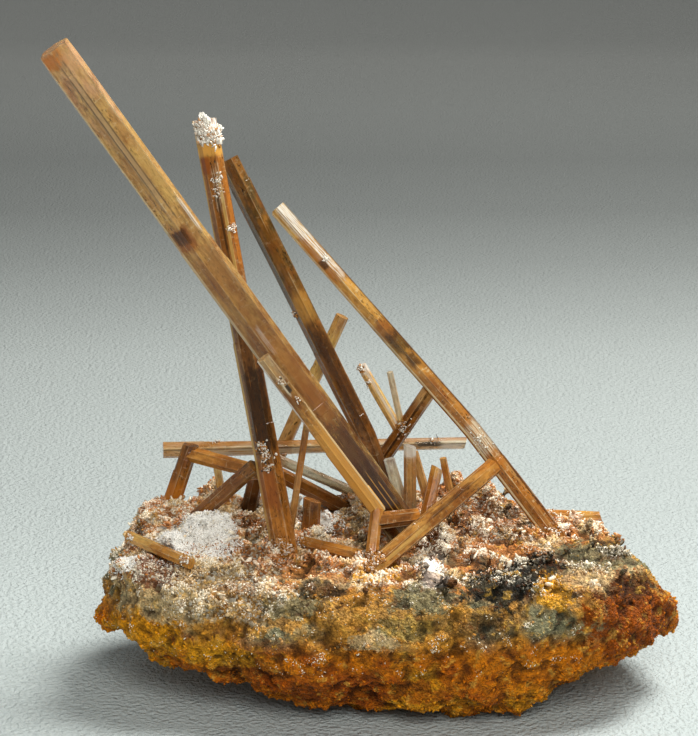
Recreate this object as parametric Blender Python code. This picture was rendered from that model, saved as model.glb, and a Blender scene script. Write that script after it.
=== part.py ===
"""Gypsum crystals standing on a loose piece of limonite matrix.

The specimen is one lump of brown iron ore, crusted on top with small gypsum crystals. Two dozen larger prisms
grow out of the crust, lean over each other and lie across its top. Lengths are millimetres until they are
turned into metres at the end of each shape.

X runs to the right, Y runs away from the reader and Z is up. The origin is the middle of the flat underside.
"""

import math
import random
from dataclasses import dataclass, replace

import bmesh
import bpy
from mathutils import Matrix, Vector, noise
from mathutils.bvhtree import BVHTree
from mathutils.geometry import intersect_point_line

MM = 0.001

# Rock: the sizes of the whole lump.
ROCK_LEFT = -72.5
ROCK_RIGHT = 74.0
ROCK_RINGS = 36
ROCK_RING_POINTS = 46
BASE_FLAT_BELOW = 1.6
COARSE_LUMP = 2.6
COARSE_LUMP_SIZE = 15.0
FINE_LUMP = 1.1
FINE_LUMP_SIZE = 6.0
COBBLE = 2.4
COBBLE_SIZE = 11.0

# Gap between two pieces that touch.
GAP = 0.3

# How much closer the rock's rings stand near its ends, and how far up a face looks that counts as the top.
END_CROWDING = 0.45
TOP_LOOKS_UP = 0.3

# Small crystals of the crust that are fused to the rock: their number and places, then their sizes.
CRUST_COUNT = 84
CRUST_SEED = 11
CRUST_CLEAR = 2.6
CRUST_LOW_CORNER = (-66.5, -34.0)
CRUST_HIGH_CORNER = (66.0, 32.0)
CRUST_LOOKS_UP = 0.45
CRUST_LENGTHS = (1.8, 4.2)
CRUST_WIDTHS = (2.2, 3.8)
CRUST_THICKNESS = 0.64
CRUST_SUNK = 1.6
CRUST_SHOULDER = 0.62
CRUST_TIP = 0.4
CRUST_CORNERS = (0.0, 50.0, 130.0, 180.0, 230.0, 310.0)

# Front view that the crystals were measured in: the eye looks down a little, from in front of the rock.
EYE_DISTANCE = 600.0
EYE_DOWN = math.radians(15.0)
AIM = Vector((-9.0, 0.0, 82.6))
BASE_ACROSS = 9.0
BASE_UP = -77.0

# Thickness of a prism as a share of its width, the spare length that its end faces are cut from, the
# length of the slope at a ledge, and the seed of the splinters.
FLATNESS = 0.8
SPARE_TIP = 2.0
LEDGE_SLOPE = 0.8
SPLINTER_SEED = 5

CRYSTAL_ROUGHNESS = 0.2
ROCK_ROUGHNESS = 0.85


def seen(across, up, behind):
    """The point that the front view shows this far right of the base and above it, this far behind."""
    forward = Vector((0.0, math.cos(EYE_DOWN), -math.sin(EYE_DOWN)))
    upward = Vector((0.0, math.sin(EYE_DOWN), math.cos(EYE_DOWN)))
    eye = AIM - forward * EYE_DISTANCE
    ray = Vector((BASE_ACROSS + across, 0.0, 0.0)) + upward * (BASE_UP + up) + forward * EYE_DISTANCE
    return eye + ray * ((behind - eye.y) / ray.y)


# Rock sections from left to right: place along X, then the front and back Y and the heights of the underside,
# the front rim, the middle of the top and the back ridge.
ROCK_SECTIONS = (
    # x, front, back, under, rim, middle, ridge
    (-72.5, -5.0, 9.0, 18.0, 21.5, 22.5, 22.0),
    (-70.0, -13.0, 16.0, 17.0, 28.0, 31.0, 28.5),
    (-65.0, -22.0, 24.0, 15.0, 35.0, 39.0, 37.0),
    (-56.0, -29.0, 31.0, 12.0, 37.0, 39.5, 41.0),
    (-42.0, -34.0, 36.0, 9.5, 35.5, 38.0, 40.0),
    (-26.0, -38.0, 38.0, 4.0, 35.0, 38.0, 38.5),
    (-6.0, -39.0, 39.0, 0.5, 35.0, 38.0, 39.0),
    (14.0, -39.0, 39.0, 0.5, 35.5, 38.0, 40.5),
    (32.0, -38.0, 38.0, 2.0, 35.5, 37.0, 38.5),
    (46.0, -36.0, 35.0, 7.0, 35.5, 36.5, 35.0),
    (58.0, -31.0, 30.0, 11.5, 34.5, 36.0, 34.0),
    (67.0, -22.0, 22.0, 13.0, 29.0, 30.5, 28.0),
    (72.0, -13.0, 13.0, 14.5, 22.5, 23.5, 22.5),
    (74.0, -5.0, 6.0, 16.0, 18.5, 19.0, 18.5),
)

# Mounds and hollows of the top: place, radius and height, with a hollow's height below zero.
MOUNDS = (
    (-43.5, 0.0, 5.0, 7.5),
    (-53.5, -12.0, 3.8, 3.5),
    (-56.0, 15.0, 6.0, 3.0),
    (-45.5, 30.0, 4.0, 6.0),
    (-29.5, 30.0, 3.4, 4.0),
    (-8.5, 19.0, 4.6, 4.8),
    (18.5, 29.0, 4.2, 6.5),
    (27.5, 28.0, 4.0, 5.5),
    (-24.0, -8.5, 5.5, 3.6),
    (-4.0, -19.0, 5.0, 2.4),
    (41.0, 5.0, 5.0, 2.6),
    (31.0, 2.0, 6.0, 1.5),
    (12.0, -8.0, 4.0, -2.5),
    (-8.5, 8.0, 2.6, -2.2),
)


def smooth_curve(before, start, end, after, share):
    """One value on the smooth curve that runs through four values in turn."""
    squared = share * share
    cubed = squared * share
    return 0.5 * (
        2.0 * start
        + (end - before) * share
        + (2.0 * before - 5.0 * start + 4.0 * end - after) * squared
        + (3.0 * start - before - 3.0 * end + after) * cubed
    )


def rock_section(x):
    """The six section values at x, smoothly between the listed sections."""
    last = len(ROCK_SECTIONS) - 2
    index = 0
    while index < last and x > ROCK_SECTIONS[index + 1][0]:
        index += 1
    start = ROCK_SECTIONS[index]
    end = ROCK_SECTIONS[index + 1]
    before = ROCK_SECTIONS[max(index - 1, 0)]
    after = ROCK_SECTIONS[min(index + 2, last + 1)]
    share = (x - start[0]) / (end[0] - start[0])
    return [smooth_curve(before[i], start[i], end[i], after[i], share) for i in range(1, 7)]


def rock_ring(x):
    """The closed outline of the rock at x, as points in Y and Z."""
    front, back, under, rim, middle, ridge = rock_section(x)
    height = rim - under
    # From the underside round the front, over the top and down the back.
    corners = (
        (front * 0.36, under),
        (front * 0.66, under + 0.03 * height),
        (front * 0.93, under + 0.22 * height),
        (front * 1.00, under + 0.52 * height),
        (front * 0.97, under + 0.80 * height),
        (front * 0.82, rim),
        (front * 0.45, rim * 0.45 + middle * 0.55),
        (back * 0.15, middle),
        (back * 0.68, ridge),
        (back * 0.92, under + 0.80 * (ridge - under)),
        (back * 1.00, under + 0.45 * (ridge - under)),
        (back * 0.80, under + 0.02 * height),
        (back * 0.40, under),
    )
    count = len(corners)
    points = []
    for step in range(ROCK_RING_POINTS):
        place = step * count / ROCK_RING_POINTS
        index = int(place)
        around = [corners[(index + offset) % count] for offset in (-1, 0, 1, 2)]
        y, z = (smooth_curve(*(corner[axis] for corner in around), place - index) for axis in (0, 1))
        points.append((y, z))
    return points


def lump(point, size, seed):
    """Smooth seeded bumps of about this size, from -1 to 1."""
    return noise.noise(point / size + Vector((seed, 2.0 * seed, 3.0 * seed)))


def cobble(point):
    """Rounded knobs with creases between them, from about -0.5 in a crease to 0.5 on a knob."""
    nearest = noise.voronoi(point / COBBLE_SIZE)[0]
    return 0.5 - nearest[0]


def rock_mesh():
    """The lump without its crust: rings along X joined by quads, then moved by mounds and bumps."""
    shape = bmesh.new()
    span = ROCK_RIGHT - ROCK_LEFT
    rings = []
    for step in range(ROCK_RINGS):
        # The rings stand closer together towards the two ends, where the outline turns quickly.
        even = step / (ROCK_RINGS - 1)
        crowded = 0.5 - 0.5 * math.cos(math.pi * even)
        x = ROCK_LEFT + span * (END_CROWDING * crowded + (1.0 - END_CROWDING) * even)
        rings.append([shape.verts.new((x, y, z)) for y, z in rock_ring(x)])
    for first, second in zip(rings, rings[1:]):
        for index in range(ROCK_RING_POINTS):
            following = (index + 1) % ROCK_RING_POINTS
            shape.faces.new((first[index], first[following], second[following], second[index]))
    shape.faces.new(rings[0][::-1])
    shape.faces.new(rings[-1])
    bmesh.ops.recalc_face_normals(shape, faces=shape.faces)
    bmesh.ops.poke(shape, faces=[face for face in shape.faces if len(face.verts) > 4])
    shape.normal_update()
    moves = {}
    for vert in shape.verts:
        place = vert.co.copy()
        outward = vert.normal.copy()
        move = outward * COARSE_LUMP * lump(place, COARSE_LUMP_SIZE, 4.0)
        move += outward * FINE_LUMP * lump(place, FINE_LUMP_SIZE, 9.0)
        move += outward * COBBLE * cobble(place)
        if outward.z > TOP_LOOKS_UP:
            for x, y, radius, height in MOUNDS:
                apart = (place.x - x) ** 2 + (place.y - y) ** 2
                move.z += height * math.exp(-apart / (2.0 * radius * radius))
        moves[vert] = move
    for vert, move in moves.items():
        vert.co += move
        if vert.co.z < BASE_FLAT_BELOW:
            vert.co.z = 0.0
    bmesh.ops.triangulate(shape, faces=shape.faces)
    return shape


@dataclass
class Prism:
    """One long crystal: where its middle line runs from foot to tip, its widths there and how it ends.

    The line's points are as the front view shows them: across, up and how far behind the middle. The roll
    turns the section about the line, in degrees. The ledges narrow the section for good at a share of the
    length. An end slant tilts the tip's face to the right, and a jag breaks it into splinters of that height.
    The root is how far the prism goes on below its foot, into the rock.
    """

    line: tuple
    widths: tuple
    roll: float = 0.0
    ledges: tuple = ()
    slant: float = 0.0
    jag: float = 0.0
    chamfer: float = 0.0
    root: float = 3.0


# Half of a prism's section as shares of its half width and half thickness. The other half is the same turned
# round, so opposite faces are parallel, as on the real crystals.
HALF_SECTION = ((1.0, -0.15), (0.95, 0.25), (0.36, 1.0), (-0.62, 1.0))

# Colours of the pieces.
CLEAR_TAN = (0.52, 0.36, 0.20)
AMBER = (0.50, 0.27, 0.08)
ORANGE = (0.55, 0.24, 0.05)
BROWN = (0.24, 0.12, 0.05)
DARK = (0.09, 0.06, 0.035)
PALE = (0.66, 0.60, 0.50)
RUST_ROCK = (0.50, 0.27, 0.07)

PRISMS = {
    "long_leaning_crystal": Prism(
        ((5.75, 35.0, 1.0), (-83.0, 157.0, -18.0)),
        (7.75, 7.75),
        roll=8.0,
        ledges=((0.62, 0.97),),
        chamfer=0.8,
        root=0.0,
    ),
    "steep_crystal": Prism(
        ((-25.0, 31.0, -9.0), (-43.5, 139.5, 16.0)), (6.4, 6.3), roll=-14.0, ledges=((0.5, 0.95),), jag=2.6
    ),
    "kinked_crystal": Prism(
        ((3.75, 37.25, 18.5), (-3.75, 59.75, 20.0), (-25.5, 104.0, 23.0), (-38.5, 129.5, 26.0)),
        (4.5, 5.5),
        roll=-20.0,
    ),
    "right_long_crystal": Prism(
        ((42.75, 34.75, 6.0), (21.75, 62.75, 12.0), (-26.5, 117.5, 22.0)), (5.0, 4.3), roll=24.0, chamfer=0.9
    ),
    "prop_crystal": Prism(((-2.5, 27.25, -19.0), (28.0, 53.25, 5.0)), (4.75, 4.75), roll=10.0),
    "cross_crystal": Prism(
        ((-55.5, 56.5, 21.1), (20.0, 58.25, 33.0)),
        (4.25, 3.6),
        roll=14.0,
        ledges=((0.55, 0.95),),
        slant=-16.0,
    ),
    "pale_speckled_crystal": Prism(((-29.5, 48.5, 30.0), (-10.75, 90.0, 26.6)), (3.7, 3.6), roll=12.0),
    "short_brown_crystal": Prism(((-48.0, 38.8, 5.5), (-32.0, 53.0, -3.0)), (4.25, 4.25), roll=-8.0),
    "brown_root_crystal": Prism(((-11.75, 42.75, 17.5), (-28.0, 51.25, 7.5)), (4.0, 4.0), roll=6.0),
    "clear_low_crystal": Prism(((-5.5, 45.0, 21.5), (-27.0, 54.25, 18.0)), (3.0, 3.0), roll=-12.0),
    "slim_crystal": Prism(((-24.0, 34.5, 2.0), (-19.25, 65.0, 4.6)), (2.0, 1.8)),
    "dark_stub_crystal": Prism(
        ((-34.0, 41.5, 22.0), (-32.25, 49.5, 22.0)), (4.5, 4.2), roll=10.0, slant=12.0
    ),
    "pale_stub_crystal": Prism(((-40.5, 44.0, 24.0), (-42.0, 52.5, 24.0)), (2.25, 2.25)),
    "lying_left_crystal": Prism(((-50.5, 29.0, -21.0), (-64.25, 35.0, -7.5)), (3.0, 3.0), roll=10.0),
    "lying_front_crystal": Prism(
        ((-6.2, 30.0, -13.5), (-22.0, 34.0, -6.0)), (3.5, 3.3), roll=-12.0, root=0.0
    ),
    "lying_right_crystal": Prism(((39.5, 40.25, 19.5), (54.0, 39.75, 18.0)), (3.3, 3.0), slant=20.0),
    "dark_block_crystal": Prism(
        ((-18.75, 34.0, 3.0), (-18.25, 44.0, 3.5)), (5.0, 4.8), roll=12.0, slant=-14.0
    ),
    "grey_upright_crystal": Prism(
        ((6.3, 36.0, 9.2), (6.25, 57.5, 9.2)), (3.5, 3.5), roll=-14.0, slant=-12.0, root=0.5
    ),
    "thin_upright_crystal": Prism(((12.0, 39.5, 15.5), (7.25, 56.0, 15.0)), (2.5, 2.4)),
    "orange_upright_crystal": Prism(
        ((9.4, 36.0, 4.6), (13.0, 52.0, 12.0)), (3.5, 3.4), roll=9.0, slant=-18.0, root=1.0
    ),
    "tiny_upright_crystal": Prism(((16.75, 44.0, 25.0), (14.5, 54.5, 24.0)), (2.0, 2.0)),
    "white_topped_crystal": Prism(((6.0, 37.5, 13.6), (1.0, 54.25, 13.2)), (3.5, 3.2), roll=-6.0),
}

# Crystals that have grown into each other are one solid. The first prism of each group is its main one.
GROUPS = {
    "front_crystal": (
        Prism(((-1.5, 41.0, -6.2), (-30.5, 79.5, -13.0)), (3.5, 3.4), roll=16.0, root=0.0),
        Prism(((-3.5, 29.0, -12.5), (-2.0, 41.75, -6.8)), (3.6, 3.5), roll=-8.0),
        Prism(((-2.25, 38.75, -7.6), (8.25, 40.0, -3.4)), (4.6, 4.4), roll=5.0, root=0.0),
    ),
    "forked_back_crystal": (
        Prism(((-6.75, 45.25, 30.0), (11.75, 72.25, 14.5)), (4.25, 4.25), roll=10.0),
        Prism(((3.75, 61.0, 21.0), (-6.0, 77.75, 23.0)), (2.8, 2.8), jag=0.9, root=0.0),
        Prism(((4.25, 62.25, 20.0), (1.25, 76.0, 17.0)), (1.8, 1.7), root=0.0),
    ),
    "elbow_crystal": (
        Prism(((-53.75, 42.0, 17.0), (-48.5, 57.75, 17.0)), (4.75, 4.5), roll=12.0, slant=10.0),
        Prism(((-48.5, 55.5, 17.0), (-30.5, 50.75, 2.5)), (4.25, 4.0), roll=-10.0, root=0.0),
    ),
}

COLOURS = {
    "long_leaning_crystal": CLEAR_TAN,
    "steep_crystal": BROWN,
    "kinked_crystal": BROWN,
    "right_long_crystal": AMBER,
    "prop_crystal": ORANGE,
    "cross_crystal": CLEAR_TAN,
    "pale_speckled_crystal": CLEAR_TAN,
    "short_brown_crystal": BROWN,
    "brown_root_crystal": ORANGE,
    "clear_low_crystal": PALE,
    "slim_crystal": CLEAR_TAN,
    "dark_stub_crystal": DARK,
    "pale_stub_crystal": AMBER,
    "lying_left_crystal": AMBER,
    "lying_front_crystal": ORANGE,
    "lying_right_crystal": AMBER,
    "dark_block_crystal": DARK,
    "grey_upright_crystal": CLEAR_TAN,
    "thin_upright_crystal": CLEAR_TAN,
    "orange_upright_crystal": ORANGE,
    "tiny_upright_crystal": CLEAR_TAN,
    "white_topped_crystal": PALE,
    "front_crystal": AMBER,
    "forked_back_crystal": BROWN,
    "elbow_crystal": BROWN,
}

# Which crystal stops short against which: the first is cut back to the gap.
STOPS_AT = (
    ("prop_crystal", "right_long_crystal"),
    ("forked_back_crystal", "right_long_crystal"),
    ("short_brown_crystal", "steep_crystal"),
    ("elbow_crystal", "steep_crystal"),
    ("lying_front_crystal", "steep_crystal"),
)


def clear_scene():
    for item in list(bpy.data.objects):
        bpy.data.objects.remove(item, do_unlink=True)


def material(name, colour, roughness):
    made = bpy.data.materials.new(name)
    made.use_nodes = True
    shader = made.node_tree.nodes["Principled BSDF"]
    shader.inputs["Base Color"].default_value = (*colour, 1.0)
    shader.inputs["Roughness"].default_value = roughness
    shader.inputs["Metallic"].default_value = 0.0
    return made


def object_of(shape, name, finish=None):
    """A mesh object in metres from a shape in millimetres."""
    bmesh.ops.recalc_face_normals(shape, faces=shape.faces)
    shape.transform(Matrix.Scale(MM, 4))
    mesh = bpy.data.meshes.new(name)
    shape.to_mesh(mesh)
    shape.free()
    if finish:
        mesh.materials.append(finish)
    made = bpy.data.objects.new(name, mesh)
    bpy.context.collection.objects.link(made)
    return made


def section(width, thickness, roll):
    """Corners of a prism's section, counted round, as places along its side and its front directions."""
    half = [(0.5 * width * a, 0.5 * thickness * b) for a, b in HALF_SECTION]
    corners = half + [(-a, -b) for a, b in half]
    turn = Matrix.Rotation(math.radians(roll), 2)
    return [turn @ Vector(corner) for corner in corners]


def axis_frame(direction):
    """The side and front directions of a prism that runs this way, with its front towards the reader."""
    towards = Vector((0.0, -math.cos(EYE_DOWN), math.sin(EYE_DOWN)))
    front = (towards - direction * towards.dot(direction)).normalized()
    return front.cross(direction).normalized(), front


def slice_off(shape, point, normal):
    """Cuts away what lies beyond the plane, and closes the cut with one flat face."""
    everything = shape.verts[:] + shape.edges[:] + shape.faces[:]
    cut = bmesh.ops.bisect_plane(
        shape, geom=everything, dist=1e-5, plane_co=point, plane_no=normal, clear_outer=True
    )
    edges = [item for item in cut["geom_cut"] if isinstance(item, bmesh.types.BMEdge)]
    if edges:
        bmesh.ops.contextual_create(shape, geom=edges)


def prism_rings(prism):
    """Places along the line with the share of the length and the width's factor there."""
    line = [seen(*point) for point in prism.line]
    lengths = [0.0]
    for start, end in zip(line, line[1:]):
        lengths.append(lengths[-1] + (end - start).length)
    whole = lengths[-1]
    stops = [(length / whole, 1.0) for length in lengths]
    for share, factor in prism.ledges:
        step = LEDGE_SLOPE / whole
        stops = [(at, scale * (factor if at > share else 1.0)) for at, scale in stops]
        stops += [(share - step, 1.0), (share + step, factor)]
    rings = []
    for at, scale in sorted(stops):
        length = at * whole
        index = max(i for i in range(len(line) - 1) if lengths[i] <= length + 1e-9)
        part = (length - lengths[index]) / (lengths[index + 1] - lengths[index])
        rings.append((line[index].lerp(line[index + 1], part), at, scale))
    return line, rings


def prism_shape(prism, extra=0.0):
    """The closed prism, or with extra the same prism grown by that much on every side."""
    line, rings = prism_rings(prism)
    shape = bmesh.new()
    loops = []
    for number, (middle, at, scale) in enumerate(rings):
        before = rings[max(number - 1, 0)][0]
        after = rings[min(number + 1, len(rings) - 1)][0]
        side, front = axis_frame((after - before).normalized())
        width = prism.widths[0] + (prism.widths[1] - prism.widths[0]) * at
        corners = section(width * scale + 2.0 * extra, width * scale * FLATNESS + 2.0 * extra, prism.roll)
        if number in (0, len(rings) - 1):
            outward = (middle - rings[1][0] if number == 0 else middle - rings[-2][0]).normalized()
            middle = middle + outward * (extra + (SPARE_TIP if number else prism.root))
        loops.append([shape.verts.new(middle + side * a + front * b) for a, b in corners])
    for first, second in zip(loops, loops[1:]):
        for index in range(len(first)):
            following = (index + 1) % len(first)
            shape.faces.new((first[index], first[following], second[following], second[index]))
    shape.faces.new(loops[0][::-1])
    shape.faces.new(loops[-1])
    bmesh.ops.recalc_face_normals(shape, faces=shape.faces)
    end_prism(shape, prism, line, extra)
    return shape


def end_prism(shape, prism, line, extra):
    """Shapes the tip: one slanted face, an edge chamfer beside it, or splinters."""
    direction = (line[-1] - line[-2]).normalized()
    side, front = axis_frame(direction)
    tip = line[-1] + direction * extra
    tilt = math.radians(prism.slant)
    slice_off(shape, tip, direction * math.cos(tilt) + side * math.sin(tilt))
    if prism.chamfer:
        corner = tip + side * (0.5 * prism.widths[1] - prism.chamfer)
        slice_off(shape, corner, (direction + side).normalized())
    if prism.jag and not extra:
        splinter(shape, tip, direction, prism.jag)


def splinter(shape, tip, direction, height):
    """Breaks the end face into uneven splinters along the crystal."""
    shape.normal_update()
    cap = max(shape.faces, key=lambda face: face.normal.dot(direction) + 0.001 * face.calc_area())
    bmesh.ops.subdivide_edges(shape, edges=list(cap.edges), cuts=1)
    cap = max(shape.faces, key=lambda face: face.normal.dot(direction) + 0.001 * face.calc_area())
    poked = bmesh.ops.poke(shape, faces=[cap])
    chance = random.Random(SPLINTER_SEED)
    for vert in shape.verts:
        if abs((vert.co - tip).dot(direction)) < 0.05:
            vert.co -= direction * height * chance.uniform(0.0, 1.0)
    poked["verts"][0].co = tip + direction * 0.4 * height


def combine(target, others, operation):
    """Adds one Boolean modifier for all the other objects, which are kept as hidden guides."""
    guides = bpy.data.collections.new(f"{target.name} {operation.lower()}")
    for other in others:
        for home in list(other.users_collection):
            home.objects.unlink(other)
        guides.objects.link(other)
        other.hide_render = True
        other.display_type = "WIRE"
    bpy.context.scene.collection.children.link(guides)
    step = target.modifiers.new(operation.title(), "BOOLEAN")
    step.operation = operation
    step.operand_type = "COLLECTION"
    step.collection = guides
    step.solver = "EXACT"


def near_a_prism(point, prisms):
    """Whether the point lies close enough to a prism for its socket to cut a blade in two."""
    for prism in prisms:
        line = [seen(*place) for place in prism.line]
        for start, end in zip(line, line[1:]):
            nearest, share = intersect_point_line(point, start, end)
            nearest = start.lerp(end, min(max(share, 0.0), 1.0))
            if (point - nearest).length < 0.5 * max(prism.widths) + CRUST_CLEAR:
                return True
    return False


def crust_crystals(rock, prisms):
    """Small blades that stand on the top of the rock, one object each."""
    tree = BVHTree.FromBMesh(rock)
    chance = random.Random(CRUST_SEED)
    blades = []
    while len(blades) < CRUST_COUNT:
        x = chance.uniform(CRUST_LOW_CORNER[0], CRUST_HIGH_CORNER[0])
        y = chance.uniform(CRUST_LOW_CORNER[1], CRUST_HIGH_CORNER[1])
        point, normal, _, _ = tree.ray_cast(Vector((x, y, 200.0)), Vector((0.0, 0.0, -1.0)))
        if point is None or normal.z < CRUST_LOOKS_UP or near_a_prism(point, prisms):
            continue
        lean = Vector((chance.uniform(-1, 1), chance.uniform(-1, 1), chance.uniform(-0.3, 0.6)))
        direction = (normal + 0.7 * lean).normalized()
        length = chance.uniform(*CRUST_LENGTHS)
        half_width = 0.5 * chance.uniform(*CRUST_WIDTHS)
        side = direction.orthogonal().normalized()
        other = direction.cross(side)
        shape = bmesh.new()
        loops = []
        for along, scale in ((-CRUST_SUNK, 1.0), (CRUST_SHOULDER * length, 1.0), (length, CRUST_TIP)):
            ring = []
            for turn in CRUST_CORNERS:
                angle = math.radians(turn)
                across = side * math.cos(angle) + other * math.sin(angle) * CRUST_THICKNESS
                ring.append(shape.verts.new(point + direction * along + across * half_width * scale))
            loops.append(ring)
        for first, second in zip(loops, loops[1:]):
            for index in range(len(first)):
                following = (index + 1) % len(first)
                shape.faces.new((first[index], first[following], second[following], second[index]))
        shape.faces.new(loops[0][::-1])
        shape.faces.new(loops[-1])
        blades.append(object_of(shape, f"crust_blade_{len(blades)}"))
    return blades


def build():
    clear_scene()
    crystals = {}
    grown = {}
    for name, prism in PRISMS.items():
        finish = material(name, COLOURS[name], CRYSTAL_ROUGHNESS)
        crystals[name] = object_of(prism_shape(prism), name, finish)
        grown[name] = [prism]
    for name, prisms in GROUPS.items():
        finish = material(name, COLOURS[name], CRYSTAL_ROUGHNESS)
        crystals[name] = object_of(prism_shape(prisms[0]), name, finish)
        joined = [
            object_of(prism_shape(prism), f"{name}_branch_{number}", finish)
            for number, prism in enumerate(prisms[1:])
        ]
        combine(crystals[name], joined, "UNION")
        grown[name] = list(prisms)
    for name, neighbour in STOPS_AT:
        cutters = [
            object_of(prism_shape(prism, GAP), f"{name}_stop_{number}")
            for number, prism in enumerate(grown[neighbour])
        ]
        combine(crystals[name], cutters, "DIFFERENCE")
    rock = rock_mesh()
    blades = crust_crystals(rock, [prism for prisms in grown.values() for prism in prisms])
    finish = material("limonite_matrix", RUST_ROCK, ROCK_ROUGHNESS)
    matrix = object_of(rock, "limonite_matrix", finish)
    combine(matrix, blades, "UNION")
    sockets = [
        object_of(prism_shape(replace(prism, jag=0.0), GAP), f"socket_{name}_{number}")
        for name, prisms in grown.items()
        for number, prism in enumerate(prisms)
    ]
    combine(matrix, sockets, "DIFFERENCE")


build()
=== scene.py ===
# %% [markdown]
# # A gypsum specimen, dressed for a portrait
#
# A loose lump of rusty limonite carries a crust of sugar-like gypsum, and some two dozen long brown gypsum
# prisms grow from it, lean on one another and lie across the top. The CAD model gives every one of them its
# place. This notebook gives them their finish: growth ridges, clouds and inclusions in the crystals, and
# pitted, many-coloured, glittering stone under them.

import math

import bmesh
import bpy
import numpy as np
from mathutils import Matrix, Vector, noise
from mathutils.bvhtree import BVHTree


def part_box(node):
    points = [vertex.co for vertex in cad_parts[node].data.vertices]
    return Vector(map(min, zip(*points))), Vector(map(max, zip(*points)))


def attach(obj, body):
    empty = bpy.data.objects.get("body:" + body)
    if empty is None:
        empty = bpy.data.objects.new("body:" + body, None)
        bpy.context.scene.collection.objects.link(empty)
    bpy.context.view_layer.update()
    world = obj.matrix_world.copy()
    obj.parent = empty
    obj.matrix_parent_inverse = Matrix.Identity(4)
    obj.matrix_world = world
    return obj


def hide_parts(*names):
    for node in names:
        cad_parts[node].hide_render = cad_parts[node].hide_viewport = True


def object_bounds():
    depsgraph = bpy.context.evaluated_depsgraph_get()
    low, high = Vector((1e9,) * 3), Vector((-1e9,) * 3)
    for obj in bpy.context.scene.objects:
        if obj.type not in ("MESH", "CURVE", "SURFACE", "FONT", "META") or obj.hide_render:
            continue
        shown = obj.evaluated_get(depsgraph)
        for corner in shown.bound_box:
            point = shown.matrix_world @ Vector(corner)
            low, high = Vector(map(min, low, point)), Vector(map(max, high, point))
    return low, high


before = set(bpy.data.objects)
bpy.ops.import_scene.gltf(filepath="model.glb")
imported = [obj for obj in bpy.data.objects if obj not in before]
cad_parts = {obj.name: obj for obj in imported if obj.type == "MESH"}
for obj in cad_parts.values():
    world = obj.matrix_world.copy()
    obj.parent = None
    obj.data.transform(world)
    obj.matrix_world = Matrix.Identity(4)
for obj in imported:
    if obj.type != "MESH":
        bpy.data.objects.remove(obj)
cad_box = [list(corner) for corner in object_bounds()]
print("nodes:", len(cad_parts), "box:", [[round(v, 4) for v in corner] for corner in cad_box])

# %% [markdown]
# ## The camera
#
# The specimen was photographed from a little above, from more than arm's length, so the prisms hardly
# converge. A long lens six hundred millimetres away, looking down fifteen degrees, gives the same view. The
# frame is taller than it is wide, and its height takes the whole sensor.

# %% Camera at the photograph's angle
MM = 0.001
LOOK_DOWN = math.radians(15.0)
EYE_DISTANCE = 600.0
AIM = Vector((-9.0, 0.0, 82.6))
PICTURE = (698.0, 736.0)
PIXELS_PER_MM = 4.0
SENSOR = 36.0
FORWARD = Vector((0.0, math.cos(LOOK_DOWN), -math.sin(LOOK_DOWN)))
UPWARD = Vector((0.0, math.sin(LOOK_DOWN), math.cos(LOOK_DOWN)))
EYE = AIM - FORWARD * EYE_DISTANCE

lens = bpy.data.cameras.new("portrait_lens")
lens.sensor_width = SENSOR
lens.lens = SENSOR * EYE_DISTANCE / (PICTURE[1] / PIXELS_PER_MM)
lens.clip_start = 0.01
camera = bpy.data.objects.new("portrait_camera", lens)
camera.location = EYE * MM
camera.rotation_euler = (math.pi / 2 - LOOK_DOWN, 0.0, 0.0)
bpy.context.scene.collection.objects.link(camera)
bpy.context.scene.camera = camera
print("lens", round(lens.lens, 2), "mm, eye", [round(v, 3) for v in camera.location])


# %% A sight line through the picture
def sight(column, row):
    """The direction in which the eye sees this column and row of the picture."""
    right = (column - PICTURE[0] / 2) / PIXELS_PER_MM
    up = (PICTURE[1] / 2 - row) / PIXELS_PER_MM
    return (Vector((right, 0.0, 0.0)) + UPWARD * up + FORWARD * EYE_DISTANCE).normalized()


def at_depth(column, row, behind):
    """The point in millimetres that the picture shows there, this far behind the middle."""
    ray = sight(column, row)
    return EYE + ray * ((behind - EYE.y) / ray.y)


print("middle of the picture:", [round(v, 1) for v in at_depth(349.0, 368.0, 0.0)])

# %% [markdown]
# ## Floor and light
#
# A sheet of pale paper runs under the stone and up behind it, so there is no line at the horizon. It is one
# plane whose far edge is extruded upwards in a few growing steps. A broad lamp above and behind on the right
# gives the crystals their edges, and a weaker one in front opens the shadows.


# %% Helpers to work on one object
def only(piece):
    """Selects this object alone and makes it the active one."""
    if bpy.context.object and bpy.context.object.mode != "OBJECT":
        bpy.ops.object.mode_set(mode="OBJECT")
    bpy.ops.object.select_all(action="DESELECT")
    piece.select_set(True)
    bpy.context.view_layer.objects.active = piece


def newest(name):
    """Names what was just added."""
    piece = bpy.context.object
    piece.name = name
    piece.data.name = name
    return piece


def settle(piece):
    """Puts the object's place, turn and scale into its mesh."""
    only(piece)
    bpy.ops.object.transform_apply(location=True, rotation=True, scale=True)


def choose_parts(piece, kind, wanted):
    """In edit mode, selects only those faces or edges of the piece that are wanted."""
    bpy.ops.object.mode_set(mode="EDIT")
    bpy.ops.mesh.select_mode(type=kind)
    bpy.ops.mesh.select_all(action="DESELECT")
    shape = bmesh.from_edit_mesh(piece.data)
    for part in shape.faces if kind == "FACE" else shape.edges:
        part.select = wanted(part)
    bmesh.update_edit_mesh(piece.data)


def linear(red, green, blue):
    """A screen colour from 0 to 255 as the linear colour that a shader takes."""
    values = []
    for level in (red, green, blue):
        level = level / 255.0
        values.append(level / 12.92 if level <= 0.04045 else ((level + 0.055) / 1.055) ** 2.4)
    return (*values, 1.0)


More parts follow.
